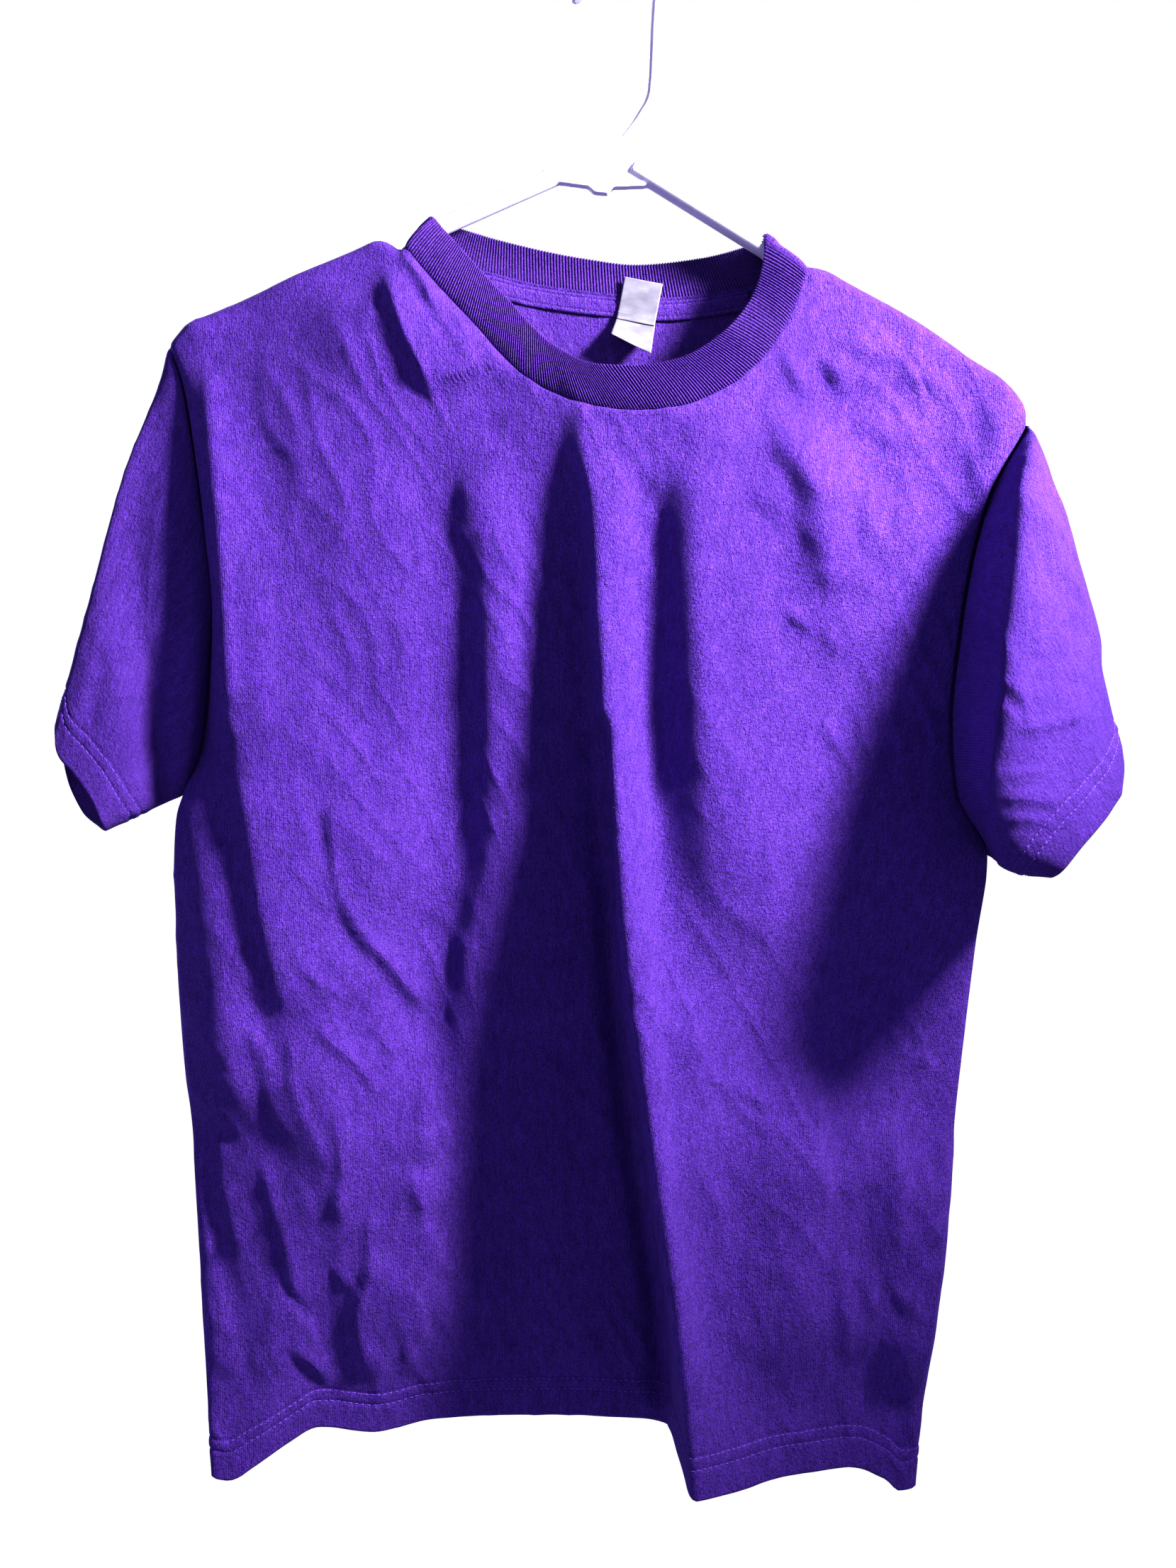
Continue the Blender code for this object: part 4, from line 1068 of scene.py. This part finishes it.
RIB_PITCH = 1.48                      # from one rib of the neckband to the next
BODY = jersey("purple jersey", (0.076, 0.018, 0.27), (0.206, 0.078, 0.56))
# painted shade: a large groove darkens the neckband between its ribs
RIBBED = jersey("purple rib", (0.030, 0.006, 0.115), (0.150, 0.053, 0.40), wale=RIB_PITCH * MM,
                wale_depth=0.15, groove=0.75, phase=math.pi / 2, plain=False)
THREAD = jersey("purple thread", (0.22, 0.09, 0.58), (0.36, 0.18, 0.80))
SATIN = label_look()
PLASTIC = plastic_look()

# ---- body panels and their hems
COLUMNS = 176
VOXEL = 0.75       # of the hanger's mesh
HEM_SHARE = 26 / 620                  # of a panel's length that gets close rows
BODY_ROWS = np.concatenate([np.linspace(0, 1 - HEM_SHARE, 170),
                            np.linspace(1 - HEM_SHARE, 1, 33)[1:]])
TOP_DROPS = np.array([0, 0.1, 0.35, 0.8, 1.5, 2.5, 4.0, 6, 8.5, 11.5, 15, 19, 23, 27, 31, 35, 39, 42.0])

front = Panel(FRONT_SECTIONS, -1, DEPTH_IN_FRONT, FRONT_HEM, FRONT_NECKLINE)
back = Panel(BACK_SECTIONS, 1, DEPTH_BEHIND, BACK_HEM, BACK_NECKLINE)


def detailed(rows, creases, sign, seed):
    """A panel's rows with its creases, hem and sunk seams; sign is 1 where outward() points off the body."""
    normals = outward(rows) * sign
    forward = unit(normals * FORWARD)
    down, side = travelled(rows, 0), travelled(rows, 1)
    edge = np.minimum(side, side[:, -1:] - side)
    folded = crease_height(seen(rows), creases)
    folded += UNEVEN * ripple(rows, (30, 60, 70), seed) + crumple(rows, seed)
    folded *= eased(edge / CALM) * eased(down / CALM)
    at_neck = (rows[0, :, 0] > NECK_RIGHT_X) & (rows[0, :, 0] < NECK_LEFT_X)
    gather = GATHERS * ripple(rows, (6.5, 60, 60), seed + 3) * beside(down - 4, GATHERS_BELOW)
    raised = np.where(at_neck, gather - NECK_SUNK * beside(down, 1.7), -SHOULDER_SUNK * beside(down, 1.2))
    raised -= SEAM_SUNK * beside(edge, 1.5)
    raised += hem_profile(down[-1] - down, ripple(rows, (5.5, 40, 60), seed + 5))
    moved = rows + forward * folded[..., None] + normals * raised[..., None]
    return off_the_arms(moved, ARM_RADIUS + ARM_CLEAR + CLOTH)


def hem_rows(name, rows, normals):
    """Both rows of stitches of a hem on rows of points whose last one is the fold."""
    up = travelled(rows[::-1], 0)
    last = len(rows) - 1
    for k, height in enumerate((HEM_DEPTH, HEM_DEPTH - ROW_APART)):
        line, lift = [], []
        for c in range(rows.shape[1]):
            place = last - np.interp(height, up[:, c], np.arange(last + 1))
            low, share = int(place), place - int(place)
            line.append(rows[low, c] * (1 - share) + rows[low + 1, c] * share)
            lift.append(normals[low, c])
        stitches(f"{name}_stitches_{k + 1}", np.array(line), np.array(lift), *HEM_STITCH)


front_form = front.grid(COLUMNS, TOP_DROPS, BODY_ROWS)
back_form = back.grid(COLUMNS, TOP_DROPS, BODY_ROWS)
front_rows = detailed(front_form, FRONT_CREASES, 1, 2.0)
back_rows = detailed(back_form, BACK_CREASES, -1, 31.0)
front_piece = grid_mesh("front", front_rows, 1, uv=panel_places(front_form))
finish_piece(front_piece, BODY, "jersey", "front_panel")
back_piece = grid_mesh("back", back_rows, -1, uv=panel_places(back_form))
finish_piece(back_piece, BODY, "jersey", "back_panel")
for piece in (front_piece, back_piece):
    thicken(piece, CLOTH)
hem_rows("front_hem", front_rows, outward(front_rows))
hem_rows("back_hem", back_rows, -outward(back_rows))


# ---- sleeves
CUFF_AT = 0.87                        # share of a sleeve's length where its close rows start
ARMHOLE_CLEAR = (0.15, 0.2)           # between sleeve and panels, along the sleeve and outward
CREASED_BEHIND = 0.35                 # how much of the front's creases shows on a sleeve's back
SLEEVE_UNEVEN = 0.6


def armhole_ring(side, places):
    """The armhole edge: place 0 at the shoulder, 5 at the underarm, 10 back at the shoulder."""
    across = 0.0 if side < 0 else 1.0
    underarm = RIGHT_UNDERARM_Z if side < 0 else LEFT_UNDERARM_Z
    ring = np.empty((len(places), 3))
    for panel, low, high in ((front, 0, 5), (back, 5, 10)):
        top = float(panel.top_height(np.array([across]))[0])
        z = top + (underarm - top) * np.linspace(0, 1, 400) ** 1.5
        x, y = panel.at(np.full_like(z, across), z)
        here = (places >= low) & (places <= high)
        share = (places[here] - low) / 5
        if panel is back:
            share = 1 - share
        ring[here] = resampled(np.stack([x, y, z], axis=1), share)
    return ring


def sleeve(name, node, side, rings, creases, worn, around=190, along=70):
    """A sleeve lofted from the armhole through its rings; worn is how crumpled it is."""
    facing = -side
    places = np.arange(around) * 10 / around
    armhole = armhole_ring(side, places)
    lofted = np.stack([armhole] + [ring_through(row[1:], places) for row in rings])
    lofted[0] += unit(lofted[1] - armhole) * ARMHOLE_CLEAR[0]
    lofted[0, :, 0] += side * ARMHOLE_CLEAR[1]
    marks = [0.0] + [row[0] for row in rings]
    steps = [[0.004, 0.008], np.linspace(0, CUFF_AT, along), np.linspace(CUFF_AT, 1, 34)]
    steps = np.unique(np.concatenate(steps))
    rows = np.empty((len(steps), around, 3))
    for c in range(around):
        for k in range(3):
            rows[:, c, k] = smooth(marks, lofted[:, c, k], steps)
    normals = outward(rows, ring=True) * facing
    down = travelled(rows, 0)
    raised = crease_height(seen(rows), creases) * np.where(normals[..., 1] < 0.2, 1.0, CREASED_BEHIND)
    raised += SLEEVE_UNEVEN * ripple(rows, (30, 30, 60), 11.0 * side) + worn * crumple(rows, 17.0 * side)
    raised *= eased(down / SLEEVE_CALM)
    raised -= beside(down, 1.5)
    raised += hem_profile(down[-1] - down, ripple(rows, (5.5, 5.5, 5.5), 23.0 * side))
    rows = rows + normals * raised[..., None]
    closed, lifted = (np.concatenate([grid, grid[:, :1]], axis=1)
                      for grid in (rows, outward(rows, ring=True) * facing))
    piece = grid_mesh(name, rows, facing, ring=True, uv=cloth_places(closed)[:, :-1])
    finish_piece(piece, BODY, "jersey", node)
    thicken(piece, CLOTH)
    hem_rows(name, closed, lifted)
    return piece


right_sleeve = sleeve("right_sleeve", "sleeve_right", -1, laid(RIGHT_SLEEVE_RINGS, RIGHT_SLEEVE_SET),
                      RIGHT_SLEEVE_CREASES, 0.25)
left_sleeve = sleeve("left_sleeve", "sleeve_left", 1, laid(LEFT_SLEEVE_RINGS, LEFT_SLEEVE_SET),
                     LEFT_SLEEVE_CREASES, 0.7)

# ---- neckband
RIB_COUNT = 324
PER_RIB = 6
FRONT_SHARE = 0.58                    # of the ribs that are on the front neckline
RIB_HIGH, RIB_HIGH_INSIDE, RIB_HIGH_AT_EDGE = 0.38, 0.26, 0.32
BAND_UNEVEN = 0.12
SEAM_DIP = (0.15, 0.5, 1.0)           # how the band's last rows go down into its seam
DIP_OUTSIDE, DIP_INSIDE = 0.7, 0.5
EVENED = 12                           # columns on each side over which the band's normals are evened


def band_surface(count):
    """Middle surface of the band: rows from its free edge to the seam, on a ring of columns."""
    front_count = round(count * FRONT_SHARE)
    halves = []
    for panel, edge, number in ((front, FRONT_BAND_EDGE, front_count + 1),
                                (back, BACK_BAND_EDGE, count - front_count + 1)):
        share = np.linspace(0, 1, number)
        halves.append((np.stack([table(edge, k, share) for k in (1, 2, 3)], axis=1), panel.neck_line(number)))
    free, seam = (np.concatenate([a[:-1], b[:0:-1]]) for a, b in zip(*halves))
    seam = seam + unit(seam - free) * SEAM_TUCK
    shares = np.linspace(0, 1, 15)
    rows = np.stack([free + (seam - free) * share for share in shares])
    normals = outward(rows, ring=True)
    kernel = np.ones(2 * EVENED + 1) / (2 * EVENED + 1)
    for row in normals:
        for k in range(3):
            line = np.concatenate([row[-EVENED:, k], row[:, k], row[:EVENED, k]])
            row[:, k] = np.convolve(line, kernel, "valid")
    normals = unit(normals)
    rows += normals * (BAND_CROWN * np.sin(np.pi * shares) - RIB / 2)[:, None, None]
    return off_the_arms(rows, ARM_RADIUS + BAND_CLEAR + RIB / 2), normals


def neckband():
    """The folded rib: an inner and an outer side on the band's surface, joined round its free edge."""
    count = RIB_COUNT * PER_RIB
    middle, normals = band_surface(count)
    ribs = np.cos(np.arange(count) * 2 * math.pi / PER_RIB)
    half = RIB / 2 + BAND_UNEVEN * ripple(middle, (9, 9, 9), 41.0)
    seam_dip = np.zeros((len(middle), 1))
    seam_dip[-len(SEAM_DIP):, 0] = SEAM_DIP
    outer = middle + normals * (half + RIB_HIGH * ribs - seam_dip * DIP_OUTSIDE)[..., None]
    inner = middle - normals * (half + RIB_HIGH_INSIDE * ribs - seam_dip * DIP_INSIDE)[..., None]
    across = unit(middle[0] - middle[1])
    reach = (RIB / 2 + RIB_HIGH_AT_EDGE * ribs)[:, None]
    turned = np.stack([middle[0] + (across * math.cos(a) - normals[0] * math.sin(a)) * reach
                       for a in np.radians(np.linspace(80, -80, 7))])
    rows = np.concatenate([inner[::-1], turned, outer])
    places = cloth_places(rows)
    places[..., 0] = np.arange(count) * RIB_PITCH / PER_RIB
    piece = grid_mesh("neck_rib", rows, 1, ring=True, uv=places, crosswise=True)
    return finish_piece(piece, RIBBED, "rib", "neckband")


band = neckband()


# ---- neck tape and label
TAPE_ENDS_X = (-86, 73)
TAPE_DROPS = np.concatenate([[1.6, 1.8, 2.3], np.linspace(3.0, 11.4, 14), [12.1, 12.6, 12.8]])
TAPE_ROWS = (4.0, 10.6)               # rows of stitches, below the panel's edge like the drops
TAPE_THICKNESS, LABEL_THICKNESS = 0.5, 0.22
TAPE_OFF, TAPE_PUFF, TAPE_SUNK = 0.55, 0.9, 0.5  # distance off the panel, and the relief of tape and stitches


def neck_tape():
    """A strip on the inner side of the back neck, with a row of stitches near each edge."""
    fine, line = back.top_line()
    across = np.interp(np.linspace(*TAPE_ENDS_X, 260), line[:, 0], fine)
    top, drops = back.top_height(across), TAPE_DROPS
    rows = np.stack([np.stack([*back.at(across, top - drop), top - drop], axis=1) for drop in drops])
    inward = outward(rows)
    edge = np.minimum(drops - drops[0], drops[-1] - drops)[:, None]
    puff = CLOTH + TAPE_OFF + TAPE_PUFF * (1 - np.clip(1 - edge / 1.2, 0, 1) ** 2)
    puff = puff + 0.35 * ripple(rows, (5, 30, 4), 51.0) + 0.25 * ripple(rows, (14, 30, 9), 57.0)
    sunk = TAPE_SUNK * sum(beside(drops - row, 0.7) for row in TAPE_ROWS)[:, None]
    rows = rows + inward * (puff - sunk)[..., None]
    piece = grid_mesh("tape", rows, 1, uv=cloth_places(rows))
    thicken(piece, TAPE_THICKNESS)
    finish_piece(piece, BODY, "jersey", "neck_tape")
    for k, drop in enumerate(TAPE_ROWS):
        i = int(np.argmin(np.abs(drops - drop)))
        stitches(f"tape_stitches_{k + 1}", rows[i], inward[i], *TAPE_STITCH)
    return piece


LABEL_X = 11.0
LABEL_WIDTH = 21.5
LABEL_TILT = math.radians(-11)
LABEL_FOOT_Z = -196.0
LABEL_DROOP, DROOP_SIDE, TWIST_SIDE = 7.5, 0.30, 0.15  # one lower corner hangs further down and forward
# depth and height of the page turned up over the band, and of the one that hangs and curls forward
PAGE_UP = ((16.9, 21.8), (16.7, 16.0), (17.0, 10.0), (17.5, 4.0), (17.4, 0.5), (16.8, -1.8))
PAGE_DOWN = ((17.5, 2.5), (17.3, -1.5), (16.4, -4.5), (14.2, -8.0), (11.6, -11.0), (9.2, -14.2))


def label_page(name, profile, spread, twist, wave, *nodes):
    """One page of the label. It widens by spread and its lower end twists forward on one side."""
    lines = line_through(profile, 40)
    lowest = min(height for _, height in profile)
    shares = np.linspace(-0.5, 0.5, 28)
    rows = []
    for depth, height in lines:
        hang = np.clip(height / lowest, 0, 1) if lowest < -5 else 0.0
        off = shares * LABEL_WIDTH * (1 + spread * hang)
        y = depth - twist * hang ** 2 * (shares + TWIST_SIDE) + wave * np.sin(shares * 5 + 0.8) * (0.3 + hang)
        dip = height - LABEL_DROOP * hang ** 1.5 * (shares + DROOP_SIDE)
        x = LABEL_X + off * math.cos(LABEL_TILT) - dip * math.sin(LABEL_TILT)
        z = LABEL_FOOT_Z + off * math.sin(LABEL_TILT) + dip * math.cos(LABEL_TILT)
        rows.append(np.stack([x, y, z], axis=1))
    rows = np.array(rows)
    piece = grid_mesh(name, rows, 1, uv=cloth_places(rows))
    thicken(piece, LABEL_THICKNESS)
    return finish_piece(piece, SATIN, "label", *nodes)


tape = neck_tape()
page_up = label_page("label_page_up", PAGE_UP, 0.0, 0.0, 0.25, "care_label")
page_down = label_page("label_page_down", PAGE_DOWN, 0.10, 5.0, 0.5)


# ---- hanger
def through(name, points, **settings):
    """A straight-sided curve with these settings."""
    curve = bpy.data.curves.new(name, "CURVE")
    for key, value in settings.items():
        setattr(curve, key, value)
    spline = curve.splines.new("POLY")
    spline.points.add(len(points) - 1)
    for point, place in zip(spline.points, points):
        point.co = (*(v * MM for v in place), 1.0)
    return bpy.data.objects.new(name, curve)


def tube(name, points, radius):
    """A round rod along a line of x and z."""
    return meshed(through(name, [(x, 0.0, z) for x, z in points], dimensions="3D", bevel_depth=radius * MM,
                          bevel_resolution=5, use_fill_caps=True))


def plate(name, outline, thickness, y=0.0):
    """A flat plate with an outline of x and z."""
    flat = through(name, [(x, z, 0.0) for x, z in outline], dimensions="2D", fill_mode="BOTH",
                   extrude=thickness / 2 * MM)
    flat.data.splines[0].use_cyclic_u = True
    flat.rotation_euler = (math.pi / 2, 0, 0)
    flat.location.y = y * MM
    return meshed(flat)


def baked(source):
    """The mesh of an object as its modifiers leave it."""
    bpy.context.view_layer.update()
    return bpy.data.meshes.new_from_object(source.evaluated_get(bpy.context.evaluated_depsgraph_get()))


def meshed(source):
    """The same shape as a mesh with its caps welded, in world places."""
    bpy.context.scene.collection.objects.link(source)
    mesh = baked(source)
    mesh.transform(source.matrix_world)
    shell = bmesh.new()
    shell.from_mesh(mesh)
    bmesh.ops.remove_doubles(shell, verts=shell.verts, dist=WELD * MM)
    bmesh.ops.recalc_face_normals(shell, faces=shell.faces)
    shell.to_mesh(mesh)
    shell.free()
    name = source.name
    bpy.data.objects.remove(source)
    return placed(name, mesh)


def hook_line():
    """x and z of the hook's centre line from its free end, down the shank to the gusset."""
    centre_z = ROD_RADIUS - HOOK_RADIUS
    turns = np.linspace(math.pi + HOOK_TAIL, 0, 33)
    arc = np.stack([HOOK_RADIUS * np.cos(turns), centre_z + HOOK_RADIUS * np.sin(turns)], axis=1)
    shank = line_through([(HOOK_RADIUS, centre_z), *SHANK], 24)[1:]
    return np.concatenate([arc, shank])


def build_hanger():
    """Arms, bar, gusset and hook joined in one mesh with soft inner corners."""
    whole = tube("hanger_form", frame_line(), ARM_RADIUS)
    added = [plate("gusset", GUSSET, GUSSET_THICKNESS), tube("hook", hook_line(), ROD_RADIUS)]
    groove = plate("groove", GUSSET_GROOVE, GROOVE_THICKNESS, y=GROOVE_Y)
    for tool, operation in ((added[0], "UNION"), (added[1], "UNION"), (groove, "DIFFERENCE")):
        join = whole.modifiers.new(tool.name, "BOOLEAN")
        join.operation = operation
        join.solver = "EXACT"
        join.object = tool
    voxels = whole.modifiers.new("voxels", "REMESH")
    voxels.mode = "VOXEL"
    voxels.voxel_size = VOXEL * MM
    voxels.use_smooth_shade = True
    soften = whole.modifiers.new("soften", "SMOOTH")
    soften.factor = 0.5
    soften.iterations = 4
    mesh = baked(whole)
    mesh.name = "hanger_moulding"
    mesh.materials.clear()
    for used in (whole, *added, groove):
        bpy.data.objects.remove(used)
    mesh.shade_smooth()
    return finish_piece(placed("hanger_moulding", mesh), PLASTIC, "plastic", "hanger")


build_hanger()

# ---- floor, lights and camera
FLOOR_RADIUS, FLOOR_Z = 1.25, -1.62
bpy.ops.mesh.primitive_circle_add(vertices=96, radius=FLOOR_RADIUS, fill_type="NGON",
                                  location=(0, 0, FLOOR_Z))
floor = bpy.context.object
floor.name = "floor"
pale = Nodes("pale floor")
speckle = pale.noise(pale.object_place(), 60.0, 3.0)
shade = pale.ramp(speckle, ((0.3, (0.78, 0.78, 0.79)), (0.7, (0.84, 0.84, 0.85))))
floor.data.materials.append(pale.finished(shade, Roughness=0.8))

world = bpy.data.worlds.new("studio")
bpy.context.scene.world = world
world.use_nodes = True
tree = world.node_tree
ambient, plain = tree.nodes["Background"], tree.nodes.new("ShaderNodeBackground")
for node, colour, strength in ((ambient, (0.54, 0.50, 1.0, 1.0), 0.52), (plain, (1.0, 1.0, 1.0, 1.0), 1.0)):
    node.inputs["Color"].default_value = colour
    node.inputs["Strength"].default_value = strength
mix, rays = tree.nodes.new("ShaderNodeMixShader"), tree.nodes.new("ShaderNodeLightPath")
for output, socket in zip((rays.outputs["Is Camera Ray"], ambient.outputs[0], plain.outputs[0]), mix.inputs):
    tree.links.new(output, socket)
tree.links.new(mix.outputs[0], tree.nodes["World Output"].inputs["Surface"])


def area_light(name, place, target, size, watts, colour=(1.0, 1.0, 1.0), cone=None):
    """A disk of light, or where a cone is given a shaded lamp of that many degrees with a soft edge."""
    light = bpy.data.lights.new(name, "SPOT" if cone else "AREA")
    if cone:
        light.shadow_soft_size = size / 2
        light.spot_size = math.radians(cone)
        light.spot_blend = 1.0
    else:
        light.shape = "DISK"
        light.size = size
    light.energy = watts
    light.color = colour
    made = placed(name, light)
    made.location = place
    made.rotation_euler = (Vector(target) - Vector(place)).to_track_quat("-Z", "Y").to_euler()


area_light("key", (0.60, -0.375, 0.085), (-0.172, 0.0, -0.358), 0.17, 140.0, (1.0, 0.99, 1.0), cone=71)
area_light("front_fill", (-0.6, -1.9, 0.1), (0.0, 0.0, -0.45), 1.4, 0.8, (0.85, 0.88, 1.0))
area_light("back_light", (-0.85, 0.95, 0.30), (0.0, 0.0, -0.42), 0.6, 22.0)

SENSOR = 36.0
lens = bpy.data.cameras.new("camera")
lens.sensor_width = SENSOR
lens.lens = SENSOR * FOCAL / FRAME[1]
lens.clip_start = 0.02
camera = placed("camera", lens)
camera.location = tuple(v * MM for v in CAMERA)
camera.rotation_euler = (math.pi / 2, 0, 0)
bpy.context.scene.camera = camera
bpy.context.scene.view_settings.view_transform = "Standard"
bpy.context.scene.view_settings.look = "None"
bpy.context.scene.view_settings.gamma = 0.78
